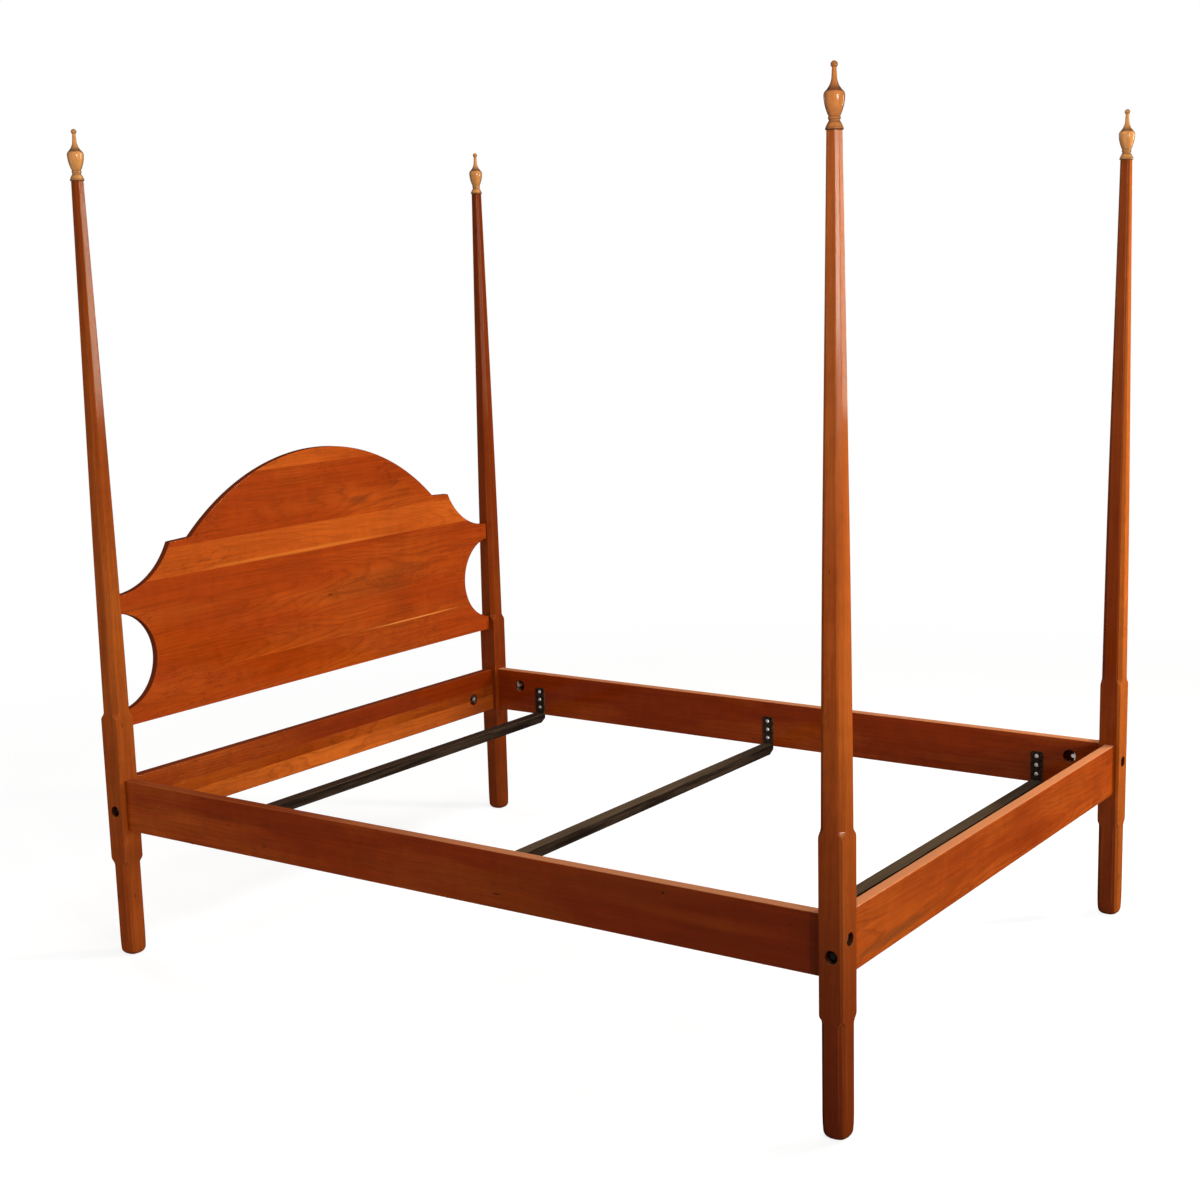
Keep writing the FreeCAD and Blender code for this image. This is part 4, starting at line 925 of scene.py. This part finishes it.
def make_finial(corner):
    """Turn one finial and its pin, set them on their post, and note the creases that painted shade and some
    dirt darken.
    """
    side_x, _, seat = post_axis(corner, POST_HEIGHT)
    body = "finial_assembly_" + corner
    piece = new_piece("turned_finial_" + corner, skin(turn_round(finial_profile(), 72) + seat))
    level = (vertex_places(piece)[:, 2] - seat[2]) / MM
    radius = np.hypot(*(vertex_places(piece)[:, :2] - seat[:2]).T) / MM
    # Painted shade, with some dirt, darkens the creases, under the flange, up the neck, at the urn's foot and
    # on the ball.
    crease = 0.85 * np.exp(-np.abs(level[:, None] - CREASES).min(1) / 1.3)
    crease = np.maximum(crease, np.clip(1.7 - level / 2.0, 0, 1))
    crease = np.maximum(crease, 0.80 * np.exp(-np.clip(level - 75, 0, None) / 9) * (level > 70.5))
    crease = np.maximum(crease, np.where(level > 112, 0.40, 0.30 * np.exp(-np.abs(level - 26) / 14)))
    mark(piece, "bore", np.where(radius < PIN_RADIUS + 0.5, (level < 23) & (level > -1), 0.9 * crease))
    mark(piece, "arris", np.exp(-np.abs(level - 70.3) / 0.5) + 0.5 * np.exp(-np.abs(level - 2.2) / 1.2))
    boards = [(seat[1] - 0.1, FINIAL_TONES[corner], 0.3 + 0.2 * side_x, seat[1] - 0.05)]
    # The finial gets painted shade where it is seen at a slant.
    wood = cherry("finial_wood_" + corner, "z", seat[0] + 0.06, boards, (seat[1] - 0.1, seat[1] + 0.1),
                  FINIAL_WOOD, (0.05, 0.03), 3.2 * MM, 0.8, coat=0.05, slant_shade=0.80, dusted=0.0, fresh=0.0)
    dress(piece, wood, body, "finial_" + corner)
    pin = new_piece("finial_dowel_" + corner, skin(turn_round(np.array(PIN_PROFILE) * MM, 40) + seat))
    dress(pin, PIN_STEEL, body, "finial_pin_" + corner)


for corner in CORNERS:
    make_finial(corner)

# %% [markdown]
# A rail is a board on edge with softly rounded edges and a tenon at each end. Its section is a rounded
# rectangle that is carried along the rail; at the shoulders it steps in to the tenon's section. The inner
# face has a wide bore near each end, where a hand reaches the nut of the bed bolt.

# %% The rails
RAIL_LOW, RAIL_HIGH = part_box("foot_rail")[0].z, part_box("foot_rail")[1].z
RAIL_HALF, RAIL_ROUND = 14.25 * MM, 3 * MM
TENON_ROUND, TENON_EASE = 0.8 * MM, 0.6 * MM
ACCESS, ACCESS_DEPTH = 17.5 * MM, 24 * MM
SIDE_REACH, END_REACH = 87 * MM, 100 * MM
RAIL_BOARDS = (0.3, 0.5)
RAIL_KINDS = {
    "x": ("y", AXIS_Y, CLEAR_X, END_BOLT_HEIGHT, END_REACH),
    "y": ("x", AXIS_X, CLEAR_Y, SIDE_BOLT_HEIGHT, SIDE_REACH),
}


def rounded_rectangle(half_width, low, high, corner):
    """Return a ring round a rectangle: four quarter circles, with a point close to each on the flats."""
    angle = np.linspace(0, math.pi / 2, 7)
    near = min(1.2 * MM, corner)
    arc = corner * np.column_stack([np.cos(angle), np.sin(angle)])
    arc = np.vstack([arc[0] - (0, near), arc, arc[-1] - (near, 0)])
    sides = []
    middle, half_height = (low + high) / 2, (high - low) / 2
    for turn in range(4):
        cosine, sine = round(math.cos(turn * math.pi / 2)), round(math.sin(turn * math.pi / 2))
        turned = arc @ np.array([(cosine, sine), (-sine, cosine)])
        signs = (cosine - sine, sine + cosine)
        sides.append(turned + (signs[0] * (half_width - corner), middle + signs[1] * (half_height - corner)))
    return np.vstack(sides)


def rail_rings(half_length):
    """Return the rings of a rail as along, across and height: tenon, shoulder, body, shoulder, tenon."""
    body = rounded_rectangle(RAIL_HALF, RAIL_LOW, RAIL_HIGH, RAIL_ROUND)
    tenon = rounded_rectangle(TENON_HALF, TENON_LOW, TENON_HIGH, TENON_ROUND)
    low, high = TENON_LOW + TENON_EASE, TENON_HIGH - TENON_EASE
    tip = rounded_rectangle(TENON_HALF - TENON_EASE, low, high, TENON_ROUND)
    end = half_length + TENON_LENGTH
    stations = [(-end, tip), (TENON_EASE - end, tenon), (-half_length, tenon), (-half_length, body)]
    stations += [(-place, ring) for place, ring in reversed(stations)]
    return np.stack([np.column_stack([np.full(len(ring), place), ring]) for place, ring in stations])


def make_rail(name, node, axis, side, pith, boards, slope, figure, marks=(), **more):
    """Make a rail along x or y; side, 1 or -1, tells on which side of the bed's middle it lies."""
    other, far, half_length, height, reach = RAIL_KINDS[axis]
    offset = side * far
    along, across, level = np.moveaxis(rail_rings(half_length), -1, 0)
    ordered = (along, across + offset, level) if axis == "x" else (across + offset, along, level)
    piece = new_piece("rail_" + name, skin(np.stack(ordered, -1)))
    bores = []
    for end in (-1, 1):
        face = np.array([end * (half_length - reach), offset - side * RAIL_HALF, height])
        tip = np.array([end * (half_length + TENON_LENGTH), offset, height])
        if axis == "y":
            face, tip = face[[1, 0, 2]], tip[[1, 0, 2]]
        work(piece, drill(axis, end, tip, [(BOLT_HOLE, reach + TENON_LENGTH)], 0.3 * MM))
        work(piece, drill(other, -side, face, [(ACCESS, ACCESS_DEPTH)]))
        bores.append((other, face, ACCESS))
    places = vertex_places(piece)
    out = np.abs(places[:, "xyz".index(other)] - offset) - RAIL_HALF
    up = np.abs(places[:, 2] - (RAIL_LOW + RAIL_HIGH) / 2) - (RAIL_HIGH - RAIL_LOW) / 2
    mark(piece, "arris", (1 + np.minimum(out, up) / RAIL_ROUND) / 0.7)
    # Painted shade goes inside the access bores.
    mark(piece, "bore", 0.7 * inside_bores(piece, bores))
    wood = cherry("rail_wood_" + name.split("_")[0], axis, offset + pith, boards, RAIL_BOARDS, RAIL_WOOD,
                  slope, 6 * MM, figure, marks, **more)
    dress(piece, wood, "bed", node)


# The near side rail is darker towards its foot end as painted shade; the fleck and the golden swirl are the
# wood's own.
make_rail("near_side", "side_rail_left", "y", -1, 0.13, [(0.3, 0.10, 0.2, 0.33)], (0.012, 0.02), 0.7, [
    ((-0.80, -1.05, 0.40), (0.4, 1.30, 0.30), PAINTED_SHADE_WOOD, 0.60),
    ((-0.80, -0.643, 0.454), (0.1, 0.006, 0.004), FLECK_DARK, 0.9),
    ((-0.80, -0.78, 0.410), (0.1, 0.34, 0.020), RAIL_WOOD[1], 0.08),
], dusted=0.40, fresh=0.05)
make_rail("far_side", "side_rail_right", "y", 1, -0.12, [(0.3, 0.05, 0.55, 0.44)], (0.015, 0.012), 0.7)
# The foot rail's right end, beside its post, is darker as painted shade; the smoky streak is the wood's own.
make_rail("foot_end", "foot_rail", "x", -1, -0.11, [(0.3, 0.27, 0.7, 0.43)], (0.03, 0.02), 0.8, [
    ((-0.56, -1.06, 0.366), (0.22, 0.1, 0.012), SMOKE, 0.55),
    ((0.80, -1.06, 0.40), (0.60, 0.2, 0.2), RAIL_WOOD[0], 0.20),
])
# The head rail is darker towards its right end as painted shade, and its faces that look up or down get
# painted shade.
make_rail("head_end", "head_rail", "x", 1, -0.12,
          [(0.3, 0.74, 0.15, 0.36), (0.390, 0.30, 0.62, 0.47), (0.422, 0.16, 0.33, 0.40)], (0.02, 0.03), 0.9,
          [((0.80, 1.05, 0.42), (0.55, 0.2, 0.2), PAINTED_SHADE_WOOD, 0.45)],
          dusted=0.0, fresh=0.0, rim=paint(110, 44, 16))

# %% [markdown]
# The headboard is one wide panel, glued up from boards that run across the bed and then sawn to an
# outline of arcs: an arch between two short ledges, hollow shoulders and round side cut-outs. A plate
# like this is its outline, carried over its edge by a small quarter circle at the front and at the back.

# %% The outline of the headboard
BOARD_BOTTOM, CROWN_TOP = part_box("headboard")[0].z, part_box("headboard")[1].z
LAND_TOP, NECK_BOTTOM, NECK_TOP = 653.5 * MM, 906.5 * MM, 956 * MM
CUTOUT_DEPTH, COVE_HOLLOW = 113.5 * MM, 31 * MM
SHOULDER, CROWN_FOOT = (577 * MM, 1071.5 * MM), (502.5 * MM, 1075 * MM)
CORNER_ROUND = 5 * MM
BOARD_HALF, BOARD_ROUND = 9.5 * MM, 3 * MM


def soften(path, corner, radius):
    """Replace a corner of a path by a smooth bend.

    The bend leaves and meets the path at radius times the tangent of half the turn from the corner, and
    between them it is a weighted mean of both ends and the corner.
    """
    place = int(np.argmin(np.hypot(*(path - corner).T)))
    before = path[place - 1] - path[place]
    after = path[place + 1] - path[place]
    before, after = before / np.hypot(*before), after / np.hypot(*after)
    turn = math.pi - math.acos(float(np.clip(before @ after, -1, 1)))
    reach = radius * math.tan(turn / 2)
    far = np.hypot(*(path - path[place]).T) > reach * 1.05
    share = np.linspace(0, 1, 9)[:, None]
    start, end = path[place] + before * reach, path[place] + after * reach
    bend = (1 - share) ** 2 * start + 2 * share * (1 - share) * path[place] + share ** 2 * end
    order = np.arange(len(path))
    return np.vstack([path[far & (order < place)], bend, path[far & (order > place)]])


def board_outline():
    """Return the headboard's outline, from its lower right corner round to its lower left one."""
    neck_low = AXIS_X - float(side_distance(np.array(NECK_BOTTOM)))
    neck_high = AXIS_X - float(side_distance(np.array(NECK_TOP)))
    crown = bow(CROWN_FOOT, (-CROWN_FOOT[0], CROWN_FOOT[1]), CROWN_TOP - CROWN_FOOT[1], 121)
    right = np.vstack([
        [(CLEAR_X, BOARD_BOTTOM)],
        bow((CLEAR_X, LAND_TOP), (neck_low, NECK_BOTTOM), -CUTOUT_DEPTH, 61),
        bow((neck_high, NECK_TOP), SHOULDER, -COVE_HOLLOW, 31),
        crown[:61],
    ])
    right = soften(right, SHOULDER, CORNER_ROUND)
    right = soften(right, CROWN_FOOT, CORNER_ROUND)
    left = right[-2::-1] * (-1, 1)
    return np.vstack([right, left])


OUTLINE = board_outline()
print("outline of", len(OUTLINE), "points")

# %% The headboard
def plate_rings(outline, half, rounds, margin=0.9 * MM):
    """Return the rings that carry an outline over its edge, from the front face to the back one.

    Each point moves inwards along the middle of its two neighbouring edges' normals, lengthened so that
    the edges stay parallel. The move is round times one minus cosine, and the way through the plate is
    half less round plus round times sine, for an angle from one face to the other. A last ring lies
    flat on each face, further in by margin, so that the shading of the edge ends there.
    """
    normal = left_of(np.roll(outline, -1, 0) - outline)
    before = np.roll(normal, 1, 0)
    inward = (normal + before) / (1 + (normal * before).sum(1))[:, None]
    quarter = np.linspace(0, math.pi / 2, 7)
    rings = []
    for side, angles in ((-1, quarter[::-1]), (1, quarter)):
        for angle in angles:
            depth = side * (half - rounds + rounds * math.sin(angle))
            moved = outline + inward * (rounds * (1 - math.cos(angle)))[:, None]
            rings.append(np.column_stack([moved, depth]))
    support = outline + inward * (rounds + margin)[:, None]
    front = np.column_stack([support, np.full(len(outline), -half)])
    back = np.column_stack([support, np.full(len(outline), half)])
    return np.stack([front] + rings + [back])


def plate(outline, half, rounds, margin=0.9 * MM):
    """Return a plate whose edge is skinned from its rings and whose two faces are flat."""
    rings = plate_rings(outline, half, rounds, margin)[:, :, [0, 2, 1]]
    rows, columns = rings.shape[:2]
    points, faces = skin(rings)
    points, edges = points[:-2], [face for face in faces if len(face) == 4]
    first = edges[0]
    forward = (first.index(1) - first.index(0)) % 4 == 1
    front, back = list(range(columns)), [(rows - 1) * columns + place for place in range(columns)]
    return points, edges + ([front[::-1], back] if forward else [front, back[::-1]])


def make_headboard():
    """Saw the headboard, add its tenons and set it between the head posts."""
    shoulder = np.abs(OUTLINE[:, 0]) > AXIS_X - POST_HALF - 0.4 * MM
    rounds = np.where(shoulder, 0.3 * MM, BOARD_ROUND)
    points, faces = plate(OUTLINE, BOARD_HALF, rounds)
    piece = new_piece("arched_headboard", (points + (0, AXIS_Y, 0), faces))
    for side in (-1, 1):
        for low, high in BOARD_TENONS:
            inner = np.array([side * (CLEAR_X - 6 * MM), AXIS_Y - BOARD_TENON_HALF, low])
            outer = np.array([side * (CLEAR_X + BOARD_TENON_LENGTH), AXIS_Y + BOARD_TENON_HALF, high])
            work(piece, block(inner, outer), "UNION")
    depth = (np.abs(vertex_places(piece)[:, 1] - AXIS_Y) - (BOARD_HALF - BOARD_ROUND)) / BOARD_ROUND
    mark(piece, "arris", 1 - (2 * depth - 1) ** 2)
    mark(piece, "bore", 0 * depth)
    boards = [
        (0.60, 0.20, 0.10, 0.66), (0.706, 0.12, 0.34, 0.73), (0.785, 0.10, 0.62, 0.87),
        (0.976, 0.66, 0.27, 1.00), (1.056, 0.14, 0.83, 1.12), (1.225, 0.48, 0.45, 1.24),
    ]
    marks = [
        ((0.23, 1.04, 0.838), (0.26, 0.1, 0.060), paint(104, 56, 20), 0.26),
        ((0.16, 1.04, 1.100), (0.06, 0.1, 0.016), paint(96, 44, 16), 0.50),
        ((0.40, 1.04, 0.706), (0.26, 0.1, 0.0032), paint(222, 142, 66), 0.7),
        ((-0.10, 1.04, 0.982), (0.60, 0.1, 0.010), paint(216, 124, 46), 0.45),
    ]
    # The headboard's sawn edges get painted shade.
    wood = cherry("board_wood", "x", AXIS_Y - 0.10, boards, (0.6, 1.3), BOARD_WOOD, (0.035, 0.0), 6.5 * MM,
                  0.9, marks, dusted=0.0, fresh=0.0, rim=paint(92, 33, 10))
    dress(piece, wood, "bed", "headboard")


make_headboard()

# %% [markdown]
# Three cross irons carry the box spring. Each is a length of angle iron whose flat leg is bent up at both
# ends into a tab with three screws, while the other leg hangs down as a stiffening web.

# %% The cross irons
IRON_HALF = AXIS_X - RAIL_HALF
IRON_WIDTH, IRON_THICK = 17.5 * MM, 3.2 * MM
IRON_TOP, IRON_BEND, IRON_ROUND = 347 * MM, 3 * MM, 0.7 * MM
TAB_TOP, TAB_ROUND = 429.5 * MM, 7 * MM
WEB_DEPTH, WEB_SLANT, WEB_RISE = 27 * MM, 20 * MM, 12 * MM
PILOT_HOLE, PILOT_DEPTH = 2.85 * MM, 8 * MM
IRON_PLACES = {"foot": -842.5 * MM, "middle": 5 * MM, "head": 852.5 * MM}
SCREW_LEVELS = TAB_TOP - 12.7 * MM - 25.4 * MM * np.arange(3)
TAB_FACE = IRON_HALF - IRON_THICK


def iron_strip(middle):
    """Return the flat leg with its two tabs: a thin rounded section carried along a bent path.

    The path runs down a tab, through a quarter circle, along the flange, and up the other tab. Near a
    tab's upper end the section narrows as a circle does, which rounds the tab's corners.
    """
    half = IRON_THICK / 2
    turn = IRON_BEND + half
    x_bend, z_bend = IRON_HALF - half - turn, IRON_TOP - half + turn
    down = TAB_ROUND * (1 - np.cos(np.linspace(0.12, math.pi / 2, 9)))
    tab = np.column_stack([np.full(9, -IRON_HALF + half), TAB_TOP - down])
    angle = np.linspace(0, math.pi / 2, 9)
    bend = np.column_stack([-x_bend - turn * np.cos(angle), z_bend - turn * np.sin(angle)])
    left = np.vstack([tab, bend, [(-x_bend + 3 * MM, IRON_TOP - half)]])
    path = np.vstack([left, left[::-1] * (-1, 1)])
    width = np.full(len(left), IRON_WIDTH)
    width[:9] = IRON_WIDTH - TAB_ROUND + np.sqrt(TAB_ROUND ** 2 - (TAB_ROUND - down) ** 2)
    width = np.concatenate([width, width[::-1]])
    normal = left_of(np.gradient(path, axis=0))
    ring = rounded_rectangle(1.0, -half, half, IRON_ROUND)
    edge = np.sign(ring[:, 0]) * (1.0 - np.abs(ring[:, 0]))
    across = np.sign(ring[:, 0]) * width[:, None] - edge
    lift = ring[:, 1][None, :]
    x = path[:, :1] + normal[:, :1] * lift
    z = path[:, 1:] + normal[:, 1:] * lift
    return skin(np.stack([x, across + middle, z], -1))


def iron_web(middle):
    """Return the web: a plate whose lower corners are cut off at a slant, carried over its edges."""
    low, high = IRON_TOP - WEB_DEPTH, IRON_TOP - 0.4 * MM
    right = np.array([(IRON_HALF - WEB_SLANT, low), (IRON_HALF, low + WEB_RISE),
                      (IRON_HALF, high - IRON_BEND), (IRON_HALF - IRON_BEND - IRON_THICK, high)])
    outline = np.vstack([right, right[::-1] * (-1, 1)])
    points, faces = plate(outline, IRON_THICK / 2, np.full(len(outline), IRON_ROUND))
    return points + (0, middle - IRON_WIDTH + IRON_THICK / 2, 0), faces


def make_iron(place):
    """Join strip and web, drill the tabs and note the upper edges and the web's lower one."""
    middle = IRON_PLACES[place]
    piece = new_piece("angle_iron_" + place, iron_strip(middle))
    work(piece, iron_web(middle), "UNION")
    for side in (-1, 1):
        for level in SCREW_LEVELS:
            face = np.array([side * (TAB_FACE - 1 * MM), middle, level])
            work(piece, drill("x", -side, face, [(PILOT_HOLE, PILOT_DEPTH)], 0.0))
    places = vertex_places(piece)
    side = (np.abs(places[:, 1] - middle) - (IRON_WIDTH - IRON_ROUND)) / IRON_ROUND
    side = np.where(places[:, 2] > IRON_TOP - IRON_ROUND - 0.2 * MM, side, 0)
    low = 1 - (places[:, 2] - (IRON_TOP - WEB_DEPTH)) / IRON_ROUND
    mark(piece, "arris", np.maximum(side, low))
    dress(piece, IRON_STEEL[place], "bed", "cross_iron_" + place)


for place in IRON_PLACES:
    make_iron(place)

# %% [markdown]
# Each tab is held by three wood screws with domed heads and a cross recess. A head is a surface of
# radius and angle: a dome, less the depth of the recess where a point lies within one of its two arms.

# %% The wood screws
SCREW_HEAD = 5.5
HEAD_EDGE, HEAD_DOME = 1.3, 2.7
SHANK, SCREW_LENGTH, SCREW_POINT = 2.75, 24.0, 5.0
ARM_WIDTH, ARM_LENGTH, ARM_DEPTH = 0.62, 2.7, 1.5


def soft_step(value, width):
    """Return 0 below 0 and 1 above width, with a smooth rise between."""
    share = np.clip(value / width, 0, 1)
    return share * share * (3 - 2 * share)


def screw_rings(spin):
    """Return a screw about +Z, its head up and its seat at 0; spin turns the recess."""
    columns = 64
    angle = np.linspace(0, 2 * math.pi, columns, endpoint=False)
    radius = np.concatenate([np.linspace(0.12, 3.4, 20), np.linspace(3.7, SCREW_HEAD, 8)])[:, None]
    ball = (SCREW_HEAD ** 2 + HEAD_DOME ** 2) / (2 * HEAD_DOME)
    height = HEAD_EDGE + HEAD_DOME - ball + np.sqrt(ball ** 2 - radius ** 2)
    x, y = np.abs(radius * np.cos(angle - spin)), np.abs(radius * np.sin(angle - spin))
    beside = soft_step(ARM_WIDTH + 0.15 - np.minimum(x, y), 0.3)
    beyond = soft_step(ARM_LENGTH + 0.2 - np.maximum(x, y), 0.5)
    head = around(radius, angle, height - ARM_DEPTH * beside * beyond)
    rest = [(SCREW_HEAD, 0.0), (SHANK, 0.0), (SHANK, SCREW_POINT - SCREW_LENGTH), (0.3, -SCREW_LENGTH)]
    return np.vstack([head, turn_round(rest, columns)]) * MM


def make_screws(place):
    """Make the six screws of one cross iron, each with its recess at another angle."""
    shells = []
    for side in (-1, 1):
        for order, level in enumerate(SCREW_LEVELS):
            rings = lay_along(screw_rings(0.9 + 2.4 * order + side + IRON_PLACES[place] * 3), "x", -side)
            shells.append(skin(rings + np.array([side * TAB_FACE, IRON_PLACES[place], level])))
    piece = new_piece("tab_screws_" + place, gather(shells))
    dress(piece, SCREW_STEEL, "bed", "iron_screws_" + place)


for place in IRON_PLACES:
    make_screws(place)

# %% [markdown]
# A bed bolt pulls its rail against the post: head and washer sit in the post's recess, and inside the
# rail a nut presses on a half-moon washer that fits the round wall of the bore. Bolt and nut are turned
# pieces whose ring is a soft hexagon in places; the cut of their ends is a shallow cone.

# %% Bolts, washers and nuts
HEX, HEX_CRISPNESS = 7.15 * MM, 60
HEAD_HEIGHT, NUT_HEIGHT = 6.4 * MM, 8 * MM
WASHER, WASHER_THICK = 12.7 * MM, 2 * MM
SEAT = POST_HALF - COUNTERBORE_DEPTH + WASHER_THICK
MOON_RADIUS, MOON_FLAT, MOON_HALF, MOON_ROUND = 17.4 * MM, 11 * MM, 9 * MM, 0.6 * MM
MOON_STEPS, MOON_MARGIN, MOON_MOUTH, MOON_DEPTH = 13, 0.2 * MM, 19 * MM, 12 * MM
SHANK_RADIUS, THREAD, THREAD_DEPTH, THREAD_SHOW = 4.75 * MM, 1.6 * MM, 0.62 * MM, 4 * MM
EYE = SHANK_RADIUS + 0.1 * MM
COLUMNS = 72


def hex_rings(angle, low, high):
    """Return four rings of a hexagon between two heights; both ends are cut back by a shallow cone."""
    corner = soft_polygon([HEX] * 6, angle, HEX_CRISPNESS)
    inner = 0.94 * HEX + 0 * corner
    slant = (corner - inner) * math.tan(math.radians(26))
    ring = [(inner, low), (corner, low + slant), (corner, high - slant), (inner, high)]
    return np.stack([around(radius, angle, height) for radius, height in ring])


def bolt_rings(length):
    """Return a bolt about +Z, its head up and the head's underside at 0, threaded at its lower end.

    A thread is the shank's radius less a small wave of height and angle together, which makes it climb.
    """
    angle = np.linspace(0, 2 * math.pi, COLUMNS, endpoint=False)
    threaded = np.linspace(-length + 0.8 * MM, -length + 26 * MM, 84)
    level = np.concatenate([threaded, [-length + 28 * MM, 0]])[:, None]
    cut = np.clip((level + length) / (1.2 * MM), 0, 1) * (level < -length + 26.5 * MM)
    wave = np.abs(2 * ((level / THREAD + angle / (2 * math.pi)) % 1) - 1)
    shank = around(SHANK_RADIUS - THREAD_DEPTH * wave * cut, angle, level)
    tip = turn_round([(SHANK_RADIUS - 1.2 * MM, -length)], COLUMNS)
    return np.vstack([tip, shank, hex_rings(angle, 0.0, HEAD_HEIGHT)])


def nut_rings():
    """Return a nut about +Z from 0 to its height, as a closed tube round its thread."""
    angle = np.linspace(0, 2 * math.pi, COLUMNS, endpoint=False)
    mouth = 0.5 * MM
    inside = [(EYE + mouth, NUT_HEIGHT), (EYE, NUT_HEIGHT - mouth), (EYE, mouth), (EYE + mouth, 0.0)]
    return np.vstack([hex_rings(angle, 0.0, NUT_HEIGHT), turn_round(inside, COLUMNS)])


def washer_rings():
    """Return a round washer about +Z under a bolt's head, its edges eased."""
    near, far = 0.2 * MM, 0.4 * MM
    lower = [(EYE, near), (EYE + near, 0), (WASHER - far, 0), (WASHER, far)]
    upper = [(radius, WASHER_THICK - level) for radius, level in reversed(lower)]
    return turn_round(lower + upper, COLUMNS)


def moon_outline():
    """Return a half-moon's outline: the arc that lies in the bore, and the flat that the nut presses on."""
    half = math.sqrt(MOON_RADIUS ** 2 - MOON_FLAT ** 2)
    arc = bow((-half, MOON_FLAT), (half, MOON_FLAT), -(MOON_RADIUS - MOON_FLAT), MOON_STEPS)
    return arc[::-1] if arc[0, 0] > arc[-1, 0] else arc


def bolt_places(side, along):
    """Return axis, outward sense and place of a point on the four bed bolts of side rails or end rails.

    along is how far the point lies outwards of the post's axis.
    """
    places = []
    for sign_x, sign_y in CORNERS.values():
        if side:
            spot = (sign_x * AXIS_X, sign_y * (AXIS_Y + along), SIDE_BOLT_HEIGHT)
        else:
            spot = (sign_x * (AXIS_X + along), sign_y * AXIS_Y, END_BOLT_HEIGHT)
        places.append(("y", sign_y, np.array(spot)) if side else ("x", sign_x, np.array(spot)))
    return places


def place_hardware(rings, joined, side, along):
    """Set one ring stack on the four bed bolts of the side rails or of the end rails."""
    places = bolt_places(side, along)
    return gather([skin(lay_along(rings, axis, sense) + spot, joined) for axis, sense, spot in places])


print("bolt rings", bolt_rings(0.15).shape, "nut rings", nut_rings().shape)

# %% Setting the hardware
def drilled_moon():
    """Return one half-moon washer, its arc towards +Z, as a shell: a small plate, drilled for the bolt.

    Its corners are sharp, so the arc has few points and the margin is narrow, or the inner rings would
    cross themselves there. It lies along Y while it is drilled, and is turned upright again after.
    """
    outline = moon_outline()
    points, faces = plate(outline[::-1], MOON_HALF, np.full(len(outline), MOON_ROUND), MOON_MARGIN)
    across, thick, out = points.T
    piece = new_piece("moon", (np.column_stack([thick, out, across]), faces))
    work(piece, drill("y", 1, (0, MOON_MOUTH, 0), [(EYE, MOON_DEPTH)], 0.0))
    across_bolt, along_bolt, height = vertex_places(piece).T
    faces = [list(face.vertices) for face in piece.data.polygons]
    bpy.data.objects.remove(piece)
    return np.column_stack([-across_bolt, height, along_bolt]), faces


def make_moons(name, node, side, bore_middle):
    """Make the four half-moon washers of one kind."""
    points, faces = drilled_moon()
    places = bolt_places(side, bore_middle)
    shells = [(lay_along(points, axis, sense) + spot, faces) for axis, sense, spot in places]
    dress(new_piece(name, gather(shells)), NUT_STEEL, "bed", node)


def set_hardware(kind, side, reach, metal):
    """Make the bolts, washers, half-moons and nuts of the side rails or of the end rails."""
    bore_middle = -POST_HALF - reach
    nut_end = bore_middle + MOON_FLAT - NUT_HEIGHT
    for name, node, rings, joined, along, material in (
            ("bed_bolts_", "_rail_bolts", bolt_rings(SEAT - nut_end + THREAD_SHOW), False, SEAT, metal),
            ("round_washers_", "_bolt_washers", washer_rings(), True, SEAT - WASHER_THICK, metal),
            ("hex_nuts_", "_rail_nuts", nut_rings(), True, nut_end, NUT_STEEL)):
        piece = new_piece(name + kind, place_hardware(rings, joined, side, along))
        dress(piece, material, "bed", kind + node)
    make_moons("half_moons_" + kind, kind + "_half_moon_washers", side, bore_middle)


# Side rail bolts take the lighter steel, painted light, and end rail bolts the near black one, painted shade.
set_hardware("side", True, SIDE_REACH, LIT_BOLT_METAL)
set_hardware("end", False, END_REACH, SHADED_BOLT_METAL)
